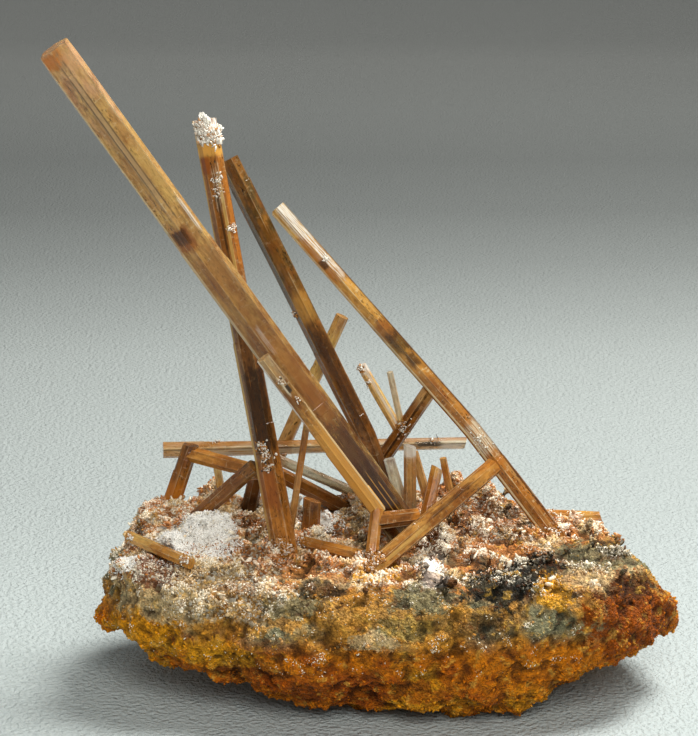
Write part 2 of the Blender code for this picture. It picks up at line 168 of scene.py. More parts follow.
# %% The paper
FLOOR_HALF = 1.6
FLOOR_FORWARD = 0.3
WALL_HEIGHT = 1.5
BEND_STEPS = 8
BEND_REACH = 0.9
only(next(iter(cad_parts.values())))
bpy.ops.mesh.primitive_plane_add(size=2 * FLOOR_HALF, location=(0.0, 0.0, 0.0))
paper = newest("paper_floor")
choose_parts(paper, "EDGE", lambda edge: all(vert.co.y > FLOOR_HALF - 0.01 for vert in edge.verts))
for step in range(BEND_STEPS):
    first = math.pi / 2 * step / BEND_STEPS
    second = math.pi / 2 * (step + 1) / BEND_STEPS
    out = BEND_REACH * (math.sin(second) - math.sin(first))
    rise = BEND_REACH * (math.cos(first) - math.cos(second))
    bpy.ops.mesh.extrude_region_move(TRANSFORM_OT_translate={"value": (0.0, out, rise)})
bpy.ops.mesh.extrude_region_move(TRANSFORM_OT_translate={"value": (0.0, 0.0, WALL_HEIGHT)})
bpy.ops.mesh.select_all(action="SELECT")
bpy.ops.mesh.normals_make_consistent(inside=False)
bpy.ops.object.mode_set(mode="OBJECT")
bpy.ops.object.shade_smooth()
paper.data.transform(Matrix.Translation((0.0, -FLOOR_FORWARD, 0.0)))

paper_finish = bpy.data.materials.new("pale_paper")
paper_finish.use_nodes = True
paper_shader = paper_finish.node_tree.nodes["Principled BSDF"]
paper_shader.inputs["Roughness"].default_value = 0.9
paper_shader.inputs["Specular IOR Level"].default_value = 0.2
paper.data.materials.append(paper_finish)
print("paper:", len(paper.data.polygons), "faces")


# %% Lamps and surroundings
def lamp(name, place, target, size, power, colour):
    """A square lamp at a place in metres, turned towards its target."""
    light = bpy.data.lights.new(name, "AREA")
    light.size = size
    light.energy = power
    light.color = colour
    body = bpy.data.objects.new(name, light)
    body.location = place
    body.rotation_euler = (Vector(target) - Vector(place)).to_track_quat("-Z", "Y").to_euler()
    bpy.context.scene.collection.objects.link(body)


lamp("window_behind", (0.36, 0.18, 0.85), (0.0, 0.0, 0.05), 0.34, 12.5, (1.0, 0.98, 0.93))
lamp("soft_front", (0.15, -0.95, 0.8), (0.0, 0.0, 0.05), 0.6, 8.6, (1.0, 0.97, 0.92))
world = bpy.data.worlds.new("soft_room")
world.use_nodes = True
around = world.node_tree.nodes["Background"].inputs
around["Color"].default_value = (0.95, 0.95, 0.93, 1.0)
around["Strength"].default_value = 0.33
bpy.context.scene.world = world
bpy.context.scene.view_settings.view_transform = "Standard"

# %% [markdown]
# ## Shader groups
#
# The same few effects come back in many finishes here: a patch of another colour on the stone, the stone's
# own colours under both rock and crust, and the streaks that run along a prism. Each is built once as a node
# group with named inputs. The groups give colours and values only, and the Principled shader stays in each
# material.


# %% Node helpers
def feed(tree, socket, value):
    """Links a socket or sets a plain value."""
    if isinstance(value, bpy.types.NodeSocket):
        tree.links.new(value, socket)
    else:
        socket.default_value = value


def put(tree, kind, inputs=None, **settings):
    """Adds a node with these settings, and feeds its inputs by name or number."""
    node = tree.nodes.new(kind)
    for name, value in settings.items():
        setattr(node, name, value)
    for key, value in (inputs or {}).items():
        feed(tree, node.inputs[key], value)
    return node


def calc(tree, operation, *values, clamp=False):
    node = put(tree, "ShaderNodeMath", dict(enumerate(values)), operation=operation, use_clamp=clamp)
    return node.outputs[0]


def times(tree, first, second, clamp=False):
    return calc(tree, "MULTIPLY", first, second, clamp=clamp)


def vector(tree, operation, *values):
    node = put(tree, "ShaderNodeVectorMath", dict(enumerate(values)), operation=operation)
    return node.outputs["Value" if operation == "LENGTH" else "Vector"]


def scaled(tree, value, factor):
    """A vector or a colour, made larger or brighter by the factor."""
    return put(tree, "ShaderNodeVectorMath", {"Vector": value, "Scale": factor}, operation="SCALE").outputs[0]


def attribute(tree, name, output="Fac"):
    return put(tree, "ShaderNodeAttribute", attribute_name=name).outputs[output]


def own_place(tree):
    """The place on the piece itself, in metres."""
    return put(tree, "ShaderNodeTexCoord").outputs["Object"]


def part_of(tree, place, axis):
    return put(tree, "ShaderNodeSeparateXYZ", {"Vector": place}).outputs[axis]


def blend(tree, amount, first, second):
    """The first colour, with the second laid over it by the amount."""
    node = put(tree, "ShaderNodeMix", data_type="RGBA", clamp_factor=True)
    feed(tree, node.inputs[0], amount)
    feed(tree, node.inputs[6], first)
    feed(tree, node.inputs[7], second)
    return node.outputs[2]


def ramp(tree, value, low, high, start=0.0, end=1.0):
    """Start below low, end above high, and a smooth change between them."""
    node = put(tree, "ShaderNodeMapRange", interpolation_type="SMOOTHSTEP")
    for key, number in enumerate((value, low, high, start, end)):
        feed(tree, node.inputs[key], number)
    return node.outputs[0]


def grain(tree, place, scale, detail=3.0, rough=0.55):
    """Fractal noise from 0 to 1 over the place, mostly between 0.3 and 0.7."""
    inputs = {"Vector": place, "Scale": scale, "Detail": detail, "Roughness": rough}
    return put(tree, "ShaderNodeTexNoise", inputs).outputs[0]


SOCKET_KINDS = {"value": "NodeSocketFloat", "colour": "NodeSocketColor", "place": "NodeSocketVector"}


def group(name, inputs, outputs):
    """A new shader group, what it is given and what it gives back. Sockets are listed by kind."""
    tree = bpy.data.node_groups.new(name, "ShaderNodeTree")
    for side, kinds in (("INPUT", inputs), ("OUTPUT", outputs)):
        for kind, labels in kinds.items():
            for label in labels:
                tree.interface.new_socket(label, in_out=side, socket_type=SOCKET_KINDS[kind])
    source = tree.nodes.new("NodeGroupInput").outputs
    return tree, source, tree.nodes.new("NodeGroupOutput").inputs


def use(tree, shared, **inputs):
    """Places a shader group. Input names are given with _ for a space."""
    node = tree.nodes.new("ShaderNodeGroup")
    node.node_tree = shared
    for name, value in inputs.items():
        feed(tree, node.inputs[name.replace("_", " ")], value)
    return node.outputs


# %% The paper's colour
# Paper that lies further back gets less light, so its colour falls off along Y.
tree = paper_finish.node_tree
PAPER_REACH = 1.3
PAPER_TONES = (
    (0.0, 0.50), (0.10, 0.43), (0.19, 0.40), (0.25, 0.37), (0.31, 0.31),
    (0.385, 0.25), (0.475, 0.21), (0.59, 0.22), (0.73, 0.30), (0.91, 0.38),
)  # fmt: skip
depth = calc(tree, "DIVIDE", part_of(tree, own_place(tree), "Y"), PAPER_REACH)
paper_tones = put(tree, "ShaderNodeValToRGB", {"Fac": depth})
tones = paper_tones.color_ramp.elements
for _ in PAPER_TONES[2:]:
    tones.new(0.5)
for tone, (at, level) in zip(tones, PAPER_TONES):
    tone.position = at
    tone.color = (level * (0.89 + 0.08 * at), level, level * (1.0 - 0.03 * at), 1.0)
feed(tree, paper_shader.inputs["Base Color"], paper_tones.outputs[0])
tooth = put(tree, "ShaderNodeBump", {"Height": grain(tree, own_place(tree), 700.0, 2.0), "Distance": 0.0016})
feed(tree, paper_shader.inputs["Normal"], tooth.outputs[0])

# %% Group: a patch of another colour
patch, given, result = group(
    "Patch",
    {"colour": ("Under", "Colour"), "place": ("Place", "Centre", "Reach"), "value": ("Amount",)},
    {"colour": ("Colour",)},
)
apart = vector(patch, "SUBTRACT", given["Place"], given["Centre"])
apart = vector(patch, "LENGTH", vector(patch, "DIVIDE", apart, given["Reach"]))
frayed = vector(patch, "ADD", given["Place"], given["Centre"])
frayed = calc(patch, "SUBTRACT", grain(patch, frayed, 0.32, 5.0, 0.65), 0.5)
apart = calc(patch, "ADD", apart, times(patch, frayed, 2.6))
strength = times(patch, ramp(patch, apart, 1.12, 0.86), given["Amount"])
feed(patch, result["Colour"], blend(patch, strength, given["Under"], given["Colour"]))

# %% [markdown]
# ### The stone's colours
#
# Limonite is rusty: orange and golden below, nearly red at the right end, olive and grey-green where it meets
# the crust, and its pits and pockets are painted dark as their shade. On top the gypsum sugar is pinkish brown
# with white drifts. Patches are given by the place where the picture shows them: a sight line finds the point
# of the stone there, and the patch is centred on that point in the stone itself, so it stays on the stone from
# any side. Noise bends their edges.

# %% The rock's fine skin
SKIN_GRID = 0.75


def apply_modifier(piece, kind, **settings):
    only(piece)
    step = piece.modifiers.new(kind.title(), kind)
    for name, value in settings.items():
        setattr(step, name, value)
    bpy.ops.object.modifier_apply(modifier=step.name)


def bumps(piece, kind, size, strength, middle=0.5, **settings):
    """Pushes the surface out and in by one of the plain cloud textures, size in millimetres."""
    texture = bpy.data.textures.new(f"{piece.name}_{kind.lower()}", kind)
    for name, value in settings.items():
        setattr(texture, name, value)
    texture.noise_scale = size * MM
    apply_modifier(
        piece, "DISPLACE", texture=texture, texture_coords="LOCAL", strength=strength * MM, mid_level=middle
    )


cad_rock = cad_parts["limonite_matrix"]
stone = bpy.data.objects.new("limonite_stone", cad_rock.data.copy())
bpy.context.scene.collection.objects.link(stone)
only(stone)
bpy.ops.object.mode_set(mode="EDIT")
bpy.ops.mesh.select_all(action="SELECT")
bpy.ops.mesh.remove_doubles(threshold=1e-6)
bpy.ops.object.mode_set(mode="OBJECT")
apply_modifier(stone, "REMESH", mode="VOXEL", voxel_size=SKIN_GRID * MM)
apply_modifier(stone, "SMOOTH", factor=0.5, iterations=3)
bumps(stone, "CLOUDS", 11.0, 5.0, noise_depth=1)
bumps(stone, "VORONOI", 7.0, -2.2, middle=0.35, distance_metric="DISTANCE")
bumps(stone, "VORONOI", 2.8, -0.9, middle=0.35, distance_metric="DISTANCE")
bumps(stone, "CLOUDS", 3.5, 1.4, noise_depth=3, noise_type="HARD_NOISE")
bumps(stone, "CLOUDS", 1.1, 0.5, noise_depth=1)
bpy.ops.object.shade_smooth()
stone.data.materials.clear()
print("stone:", len(stone.data.polygons), "faces")


# %% Keep it inside the CAD box
def points_of(mesh):
    """The mesh's points as an array, in metres."""
    points = np.empty(len(mesh.vertices) * 3)
    mesh.vertices.foreach_get("co", points)
    return points.reshape(-1, 3)


def set_points(mesh, points):
    mesh.vertices.foreach_set("co", np.asarray(points, dtype=np.float32).ravel())
    mesh.update()


low_corner, high_corner = (np.array(corner) for corner in cad_box)
stone_low, stone_high = (np.array(corner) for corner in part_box("limonite_matrix"))
set_points(stone.data, np.clip(points_of(stone.data), stone_low, stone_high))


# %% Finding the stone in the picture
def tree_of(piece):
    """The piece's faces, sorted so that a sight line finds the first one it meets."""
    return BVHTree.FromObject(piece, bpy.context.evaluated_depsgraph_get())


def on_stone(column, row):
    """The stone's point, in millimetres, that the picture shows at this column and row."""
    found = stone_tree.ray_cast(EYE * MM, sight(column, row))
    return found[0] / MM if found[0] else at_depth(column, row, 0.0)


stone_tree = tree_of(stone)
print("stone point under the crystals:", [round(v, 1) for v in on_stone(400.0, 600.0)])

# %% White mounds
MOUNDS = ((208, 527, 8.0, 4.2), (172, 541, 5.0, 2.6), (430, 570, 4.0, 0.8), (322, 522, 5.0, 1.6))
raised_points = points_of(stone.data)
for column, row, reach, height in MOUNDS:
    away = np.linalg.norm(raised_points / MM - np.array(on_stone(column, row)), axis=1) / reach
    swelling = height * np.clip(1.0 - away**2, 0.0, 1.0) ** 0.7
    inside = np.flatnonzero(swelling)
    swelling[inside] *= [1.0 + 0.7 * noise.noise(Vector(place) / (2.2 * MM)) for place in raised_points[inside]]
    raised_points[:, 1] -= 0.5 * swelling * MM
    raised_points[:, 2] += 0.8 * swelling * MM
set_points(stone.data, np.clip(raised_points, stone_low, stone_high))
stone_tree = tree_of(stone)
print("mounds:", len(MOUNDS))


# %% Ridges and hollows of the stone
def relief_of(mesh, rounds):
    """How far each point stands out from the surface smoothed over these rounds, in millimetres."""
    points = points_of(mesh)
    ends = np.empty(len(mesh.edges) * 2, dtype=np.int32)
    mesh.edges.foreach_get("vertices", ends)
    ends = ends.reshape(-1, 2)
    count = np.bincount(ends.ravel(), minlength=len(points))[:, None]
    smooth = points.copy()
    for _ in range(rounds):
        total = np.zeros_like(smooth)
        for axis in range(3):
            total[:, axis] += np.bincount(ends[:, 0], smooth[ends[:, 1], axis], minlength=len(points))
            total[:, axis] += np.bincount(ends[:, 1], smooth[ends[:, 0], axis], minlength=len(points))
        smooth = total / count
    outward = np.empty(len(points) * 3)
    mesh.vertex_normals.foreach_get("vector", outward)
    return ((points - smooth) * outward.reshape(-1, 3)).sum(axis=1) / MM


def keep_on_points(mesh, name, values):
    """Stores one number or one vector a point, which a finish can read."""
    kind, field = ("FLOAT", "value") if values.ndim == 1 else ("FLOAT_VECTOR", "vector")
    kept = mesh.attributes.new(name, kind, "POINT")
    kept.data.foreach_set(field, values.astype(np.float32).ravel())


stone_relief = 0.7 * relief_of(stone.data, 12) + 0.9 * relief_of(stone.data, 3)
keep_on_points(stone.data, "relief", stone_relief)
print("relief from", round(float(stone_relief.min()), 2), "to", round(float(stone_relief.max()), 2), "mm")


# %% Colours of the stone
RUST = linear(154, 76, 4)
ORANGE = linear(226, 134, 14)
GOLD = linear(238, 170, 30)
OCHRE = linear(206, 146, 56)
OLIVE = linear(160, 138, 72)
GREY_GREEN = linear(142, 138, 104)
BLACK_GREEN = linear(40, 43, 34)
ASH = linear(222, 194, 142)
PINK_BROWN = linear(210, 138, 76)
CREAM = linear(240, 206, 150)
WHITE = linear(252, 248, 238)
DARK_BROWN = linear(88, 50, 20)
RED_BROWN = linear(132, 66, 32)

# Column, row, half width and half height in the picture, colour and amount.
PATCHES = (
    (640, 622, 64, 40, RUST, 1.0),
    (625, 588, 36, 14, DARK_BROWN, 0.8),
    (545, 668, 60, 24, ORANGE, 0.6),
    (350, 690, 90, 16, linear(170, 78, 6), 0.7),
    (250, 668, 40, 10, DARK_BROWN, 0.5),
    (600, 672, 44, 14, linear(120, 54, 6), 0.6),
    (135, 638, 48, 24, linear(232, 156, 20), 1.0),
    (215, 652, 50, 14, GOLD, 0.55),
    (190, 590, 90, 30, ASH, 0.8),
    (172, 608, 34, 12, ASH, 0.6),
    (262, 612, 30, 16, ASH, 0.7),
    (150, 572, 24, 16, RED_BROWN, 0.85),
    (240, 588, 22, 12, RED_BROWN, 0.5),
    (345, 612, 120, 20, OCHRE, 0.75),
    (290, 608, 30, 12, GREY_GREEN, 0.8),
    (425, 600, 34, 14, GREY_GREEN, 0.85),
    (368, 643, 26, 9, ASH, 0.8),
    (405, 628, 30, 9, OLIVE, 0.7),
    (468, 622, 34, 12, OCHRE, 0.6),
    (318, 590, 22, 10, BLACK_GREEN, 0.7),
    (500, 586, 34, 22, BLACK_GREEN, 0.95),
    (535, 572, 30, 18, BLACK_GREEN, 0.95),
    (570, 560, 26, 12, BLACK_GREEN, 0.6),
    (490, 628, 34, 10, BLACK_GREEN, 0.6),
    (605, 556, 46, 14, GREY_GREEN, 0.85),
    (612, 548, 20, 8, BLACK_GREEN, 0.7),
    (555, 592, 18, 18, GOLD, 0.85),
    (586, 578, 24, 12, CREAM, 0.6),
    (492, 520, 40, 22, linear(150, 96, 58), 0.6),
    (375, 570, 24, 10, GOLD, 0.8),
    (432, 572, 14, 18, WHITE, 0.6),
    (212, 525, 30, 20, WHITE, 0.95),
    (168, 540, 18, 12, WHITE, 0.85),
    # Painted shade: a dark brown patch for the shadowed hollow under a crystal.
    (432, 540, 14, 16, DARK_BROWN, 0.85),
    (330, 470, 40, 30, PINK_BROWN, 0.6),
)
print("patches on the stone:", len(PATCHES))


# %% Group: the stone's colours
def in_sight(point):
    """A point in millimetres as right, along the sight line and square to both, the patches' own axes."""
    return (point.x, point.dot(FORWARD), point.dot(UPWARD))


hues, _, result = group("Stone colours", {}, {"colour": ("Colour",), "value": ("Crumble",)})
place = scaled(hues, own_place(hues), 1.0 / MM)
wander = put(hues, "ShaderNodeTexNoise", {"Vector": place, "Scale": 0.11, "Detail": 3.0}).outputs[1]
wander = vector(hues, "SUBTRACT", wander, (0.5, 0.5, 0.5))
bent = vector(hues, "ADD", place, scaled(hues, wander, 4.0))

height = part_of(hues, bent, "Z")
rusty = ramp(hues, grain(hues, place, 0.16, 4.0), 0.36, 0.64)
colour = blend(hues, rusty, linear(184, 94, 8), ORANGE)
golden = ramp(hues, grain(hues, bent, 0.07, 3.0), 0.5, 0.64)
colour = blend(hues, times(hues, golden, 0.7), colour, GOLD)
middle = blend(hues, ramp(hues, grain(hues, bent, 0.09), 0.42, 0.6), OCHRE, GREY_GREEN)
colour = blend(hues, ramp(hues, height, 20.0, 27.0), colour, middle)
sugar = blend(hues, ramp(hues, grain(hues, bent, 0.13), 0.46, 0.62), PINK_BROWN, CREAM)
colour = blend(hues, ramp(hues, height, 31.0, 36.0), colour, sugar)

turned = {"Vector": bent, "Rotation": (LOOK_DOWN, 0.0, 0.0)}
turned = put(hues, "ShaderNodeMapping", turned, vector_type="POINT").outputs[0]
PATCH_DEPTH = 22.0
for column, row, half_wide, half_high, tint, amount in PATCHES:
    colour = use(
        hues,
        patch,
        Under=colour,
        Colour=tint,
        Place=turned,
        Centre=in_sight(on_stone(column, row)),
        Reach=(half_wide / PIXELS_PER_MM, PATCH_DEPTH, half_high / PIXELS_PER_MM),
        Amount=amount,
    )["Colour"]

clods = grain(hues, bent, 0.34, 4.0, 0.6)
colour = blend(hues, ramp(hues, clods, 0.56, 0.66, 0.0, 0.5), colour, linear(250, 196, 84))
colour = blend(hues, ramp(hues, clods, 0.44, 0.34, 0.0, 0.55), colour, linear(118, 62, 16))
crumble = grain(hues, place, 0.9, 6.0, 0.7)
colour = scaled(hues, colour, ramp(hues, crumble, 0.32, 0.68, 0.55, 1.2))
# Painted shade: dark brown spots stand in for the shade in pits of the stone.
painted_pit_shade = ramp(hues, grain(hues, place, 0.42, 5.0, 0.6), 0.40, 0.30)
colour = blend(hues, times(hues, painted_pit_shade, 0.8), colour, DARK_BROWN)
feed(hues, result["Colour"], colour)
feed(hues, result["Crumble"], crumble)
print("stone group:", len(hues.nodes), "nodes")


# %% The stone's finish
def finish(name, roughness=0.5):
    """A new material with its tree and its Principled shader."""
    made = bpy.data.materials.new(name)
    made.use_nodes = True
    shader = made.node_tree.nodes["Principled BSDF"]
    shader.inputs["Roughness"].default_value = roughness
    return made, made.node_tree, shader


def raise_by(tree, shader, height, distance, strength=1.0):
    """Feeds a height in millimetres to the shader as bumps."""
    bump = put(tree, "ShaderNodeBump", {"Height": height, "Distance": distance * MM, "Strength": strength})
    feed(tree, shader.inputs["Normal"], bump.outputs[0])


EDGE_COLUMNS = (-72.5, -56.0, -44.0, -30.0, -22.0, 4.0, 24.0, 44.0, 66.0, 74.0)
EDGE_ROWS = (602, 612, 630, 618, 596, 600, 596, 590, 594, 596)
EDGE_DEPTH = -35.0


def crust_on(places):
    """Where the crust covers the stone, from 0 to 1, at these places in millimetres."""
    edge = [at_depth(PICTURE[0] / 2, row, EDGE_DEPTH).z for row in EDGE_ROWS]
    level = np.interp(places[:, 0], EDGE_COLUMNS, edge)
    wander = np.array([noise.noise(Vector(place) / 9.0) for place in places])
    return np.clip((places[:, 2] - level + 5.0 * wander) / 3.0, 0.0, 1.0)


keep_on_points(stone.data, "crust", crust_on(points_of(stone.data) / MM))
stone_finish, tree, shader = finish("rusty_stone", 0.85)
shader.inputs["Specular IOR Level"].default_value = 0.2
colours = use(tree, hues)
sugared = attribute(tree, "crust")
millimetres = scaled(tree, own_place(tree), 1.0 / MM)
facets = put(tree, "ShaderNodeTexVoronoi", {"Vector": millimetres, "Scale": 1.5}).outputs
pick = put(tree, "ShaderNodeSeparateColor", {"Color": facets["Color"]}).outputs[0]
speckle = blend(tree, ramp(tree, pick, 0.5, 0.95), colours["Colour"], linear(250, 240, 218))
speckle = blend(tree, ramp(tree, pick, 0.3, 0.05, 0.0, 0.5), speckle, linear(110, 68, 36))
colour = blend(tree, sugared, colours["Colour"], speckle)
# Painted shade: hollows of the stone are darkened and ridges a little lightened by their relief, less so under
# the crust.
painted_shade_and_ridge_light = ramp(tree, attribute(tree, "relief"), -0.75, 0.3, 0.3, 1.08)
painted_shade_and_ridge_light = calc(tree, "MAXIMUM", painted_shade_and_ridge_light, ramp(tree, sugared, 0.0, 1.0, 0.0, 0.6))
feed(tree, shader.inputs["Base Color"], scaled(tree, colour, painted_shade_and_ridge_light))
feed(tree, shader.inputs["Roughness"], ramp(tree, pick, 0.2, 0.9, 0.9, 0.45))
raise_by(tree, shader, calc(tree, "ADD", colours["Crumble"], times(tree, facets["Distance"], -0.8)), 1.3)
stone.data.materials.append(stone_finish)
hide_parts("limonite_matrix")
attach(stone, "root")

# %% [markdown]
# ## The crust of small crystals
#
# The top of the stone is covered in gypsum sugar: grains of half a millimetre to a millimetre that catch the
# light one by one, with longer blades between them and white drifts of fine needles. One blade is modelled
# once with a few faces. Thousands of copies of it are set into the stone's faces by a seeded rule, and
# joined to a few meshes. Each copy carries a tone of its own, which its finish reads.


# %% One blade, modelled once
def blade_shape(name, corners, shoulder, tip):
    """A small prism of height 1 and width 1 with a drawn-in end, as points and triangles."""
    bpy.ops.object.select_all(action="DESELECT")
    middle = (0, 0, shoulder / 2)
    bpy.ops.mesh.primitive_cylinder_add(vertices=corners, radius=0.5, depth=shoulder, location=middle)
    piece = newest(name)
    settle(piece)
    choose_parts(piece, "FACE", lambda face: face.normal.z > 0.9)
    bpy.ops.mesh.extrude_region_move(TRANSFORM_OT_translate={"value": (0.0, 0.0, 1.0 - shoulder)})
    bpy.ops.transform.resize(value=(tip, tip * 0.6, 1.0))
    bpy.ops.mesh.select_all(action="SELECT")
    bpy.ops.transform.resize(value=(1.0, 0.6, 1.0))
    bpy.ops.mesh.quads_convert_to_tris()
    bpy.ops.object.mode_set(mode="OBJECT")
    points = points_of(piece.data)
    faces = np.array([tuple(face.vertices) for face in piece.data.polygons])
    bpy.data.objects.remove(piece)
    return points, faces


SUGAR_GRAIN = blade_shape("sugar_grain", 3, 0.6, 0.55)
DRUSE_BLADE = blade_shape("druse_blade", 6, 0.72, 0.5)
NEEDLE = blade_shape("needle", 3, 0.5, 0.3)
print("faces in a grain, a blade and a needle:", [len(shape[1]) for shape in (SUGAR_GRAIN, DRUSE_BLADE, NEEDLE)])


# %% Strewing many copies as one mesh
def strew(name, shape, feet, directions, lengths, widths, tones, chance):
    """One mesh of many copies of a shape. Each stands on its foot, along its direction, turned at random."""
    points, faces = shape
    count = len(feet)
    helper = np.where(np.abs(directions[:, 2:3]) < 0.9, [[0.0, 0.0, 1.0]], [[1.0, 0.0, 0.0]])
    side = np.cross(directions, helper)
    side /= np.linalg.norm(side, axis=1, keepdims=True)
    other = np.cross(directions, side)
    turn = chance.uniform(0.0, 2.0 * math.pi, (count, 1))
    side, other = side * np.cos(turn) + other * np.sin(turn), other * np.cos(turn) - side * np.sin(turn)
    placed = (
        feet[:, None, :]
        + points[None, :, 0:1] * (side * widths[:, None])[:, None, :]
        + points[None, :, 1:2] * (other * widths[:, None])[:, None, :]
        + points[None, :, 2:3] * (directions * lengths[:, None])[:, None, :]
    )
    placed = np.clip(placed.reshape(-1, 3), low_corner, high_corner)
    corners = (faces[None] + (np.arange(count) * len(points))[:, None, None]).ravel()
    mesh = bpy.data.meshes.new(name)
    mesh.vertices.add(len(placed))
    mesh.vertices.foreach_set("co", placed.astype(np.float32).ravel())
    mesh.loops.add(len(corners))
    mesh.loops.foreach_set("vertex_index", corners.astype(np.int32))
    mesh.polygons.add(len(corners) // 3)
    mesh.polygons.foreach_set("loop_start", np.arange(0, len(corners), 3, dtype=np.int32))
    mesh.update(calc_edges=True)
    keep_on_points(mesh, "tone", np.repeat(tones, len(points)))
    piece = bpy.data.objects.new(name, mesh)
    bpy.context.scene.collection.objects.link(piece)
    return piece


# %% Where the stone is, and which way it looks
def surface_of(mesh):
    """Each triangle's point numbers, and its corners, normal and area in metres."""
    mesh.calc_loop_triangles()
    index = np.empty(len(mesh.loop_triangles) * 3, dtype=np.int32)
    mesh.loop_triangles.foreach_get("vertices", index)
    index = index.reshape(-1, 3)
    corners = points_of(mesh)[index]
    across = np.cross(corners[:, 1] - corners[:, 0], corners[:, 2] - corners[:, 0])
    doubled = np.linalg.norm(across, axis=1)
    return index, corners, across / np.maximum(doubled, 1e-12)[:, None], doubled / 2


index, corners, normals, areas = surface_of(stone.data)
middles = corners.mean(axis=1) / MM
standing_out = stone_relief[index].mean(axis=1)
rough_field = np.array([noise.noise(Vector(point) / 9.0) for point in middles])
fine_field = np.array([noise.noise(Vector(point) / 3.5 + Vector((7.0, 3.0, 1.0))) for point in middles])
crusted = crust_on(middles)
print("crusted share of the stone:", round(float((crusted * areas).sum() / areas.sum()), 3))


# %% Where the crystals stand
BASE_COLUMN = 385.0
BASE_ROW = 676.0


def seen(across, up, behind):
    """A crystal's point as the front view shows it: right of the base's middle, above it and behind."""
    return at_depth(BASE_COLUMN + PIXELS_PER_MM * across, BASE_ROW - PIXELS_PER_MM * up, behind)


# Feet of the crystals, and places along those that lie on the crust.
FEET = (
    (5.75, 33, 1), (-25, 30, -9), (-24.5, 28, -10), (3.75, 36, 18.5), (42.75, 34, 6), (-2.5, 27, -19),
    (-29.5, 48, 30), (-48, 38, 5.5), (-11.75, 42, 17.5), (-5.5, 44, 21.5), (-24, 34, 2), (-34, 41, 22),
    (-40.5, 43, 24), (-50.5, 28, -21), (-57, 31, -15), (-64, 34, -8), (-6, 29, -13.5), (-13, 31, -10),
    (-21, 33, -6.5), (39.5, 40, 19.5), (54, 39, 18), (-18.75, 34, 3), (6.3, 35, 9.2), (12, 39, 15.5),
    (9.4, 36, 4.6), (16.75, 43, 25), (6, 37, 13.6), (-3.5, 28, -12.5), (-6.75, 44, 30), (-53.75, 41, 17),
)  # fmt: skip
print("feet:", len(FEET))


# %% Choosing places
def choose(weights, count, chance):
    """Places on the stone, picked by weight and area, with the stone's direction there."""
    share = weights * areas
    picked = chance.choice(len(areas), size=count, p=share / share.sum())
    first, second = chance.uniform(size=(2, count, 1))
    flip = first + second > 1.0
    first, second = np.where(flip, 1.0 - first, first), np.where(flip, 1.0 - second, second)
    start = corners[picked, 0]
    feet = start + first * (corners[picked, 1] - start) + second * (corners[picked, 2] - start)
    return feet, normals[picked], standing_out[picked], fine_field[picked]


def leaning(outward, spread, chance):
    """Directions that lean away from outward at random."""
    lean = outward + spread * chance.normal(size=outward.shape)
    return lean / np.linalg.norm(lean, axis=1, keepdims=True)


def near(column, row, reach):
    """How close each face lies to the point that the picture shows, from 0 to 1."""
    away = np.linalg.norm(middles - np.array(on_stone(column, row)), axis=1)
    return np.clip(1.6 - away / reach, 0.0, 1.0)


DRIFTS = ((208, 526, 7.0), (172, 541, 4.6), (430, 568, 3.0), (322, 520, 4.2), (128, 560, 3.0), (300, 500, 3.0))
drift = np.max([near(*item) for item in DRIFTS], axis=0) * crusted
print("faces in white drifts:", int((drift > 0.3).sum()))


# %% Sugar, blades, needles and crumbs
def crust(name, shape, weights, count, spread, lengths, widths, tones, seed, sunk=0.3):
    """Copies of a shape on the stone. Most are small; those on a ridge are painted paler and those in a hollow
    darker, as painted light and shade.
    """
    chance = np.random.default_rng(seed)
    feet, outward, standing, blotch = choose(weights, count, chance)
    directions = leaning(outward, spread, chance)
    size = chance.uniform(size=count) ** 1.8
    long = (lengths[0] + (lengths[1] - lengths[0]) * size) * MM
    wide = (widths[0] + (widths[1] - widths[0]) * size * chance.uniform(0.4, 1.0, count)) * MM
    # Painted light and shade: the stone's relief makes grains on ridges paler and grains in hollows darker.
    tone = np.clip(chance.beta(*tones, count) + 0.3 * np.clip(standing, -1.0, 1.0) + 0.6 * blotch, 0.0, 1.0)
    return strew(name, shape, feet - directions * long[:, None] * sunk, directions, long, wide, tone, chance)


sugar_weight = crusted * np.clip(0.75 + 1.2 * fine_field, 0.15, 1.5)
clumps = np.clip(0.25 + 2.4 * rough_field, 0.03, 1.4)
sparse = np.clip(0.02 + 0.25 * (fine_field > 0.25), 0.0, 1.0)
raised = np.clip(0.5 + 1.2 * standing_out, 0.08, 1.6)
left = middles[:, 0] < 0.0
high_and_left = (middles[:, 2] > 16.0) * (middles[:, 0] < 48.0)
by_feet = np.zeros(len(middles))
for foot in FEET:
    away = np.linalg.norm(middles - np.array(seen(*foot)), axis=1)
    by_feet = np.maximum(by_feet, np.clip(1.5 - away / 4.5, 0.0, 1.0) * (1.0 - drift))

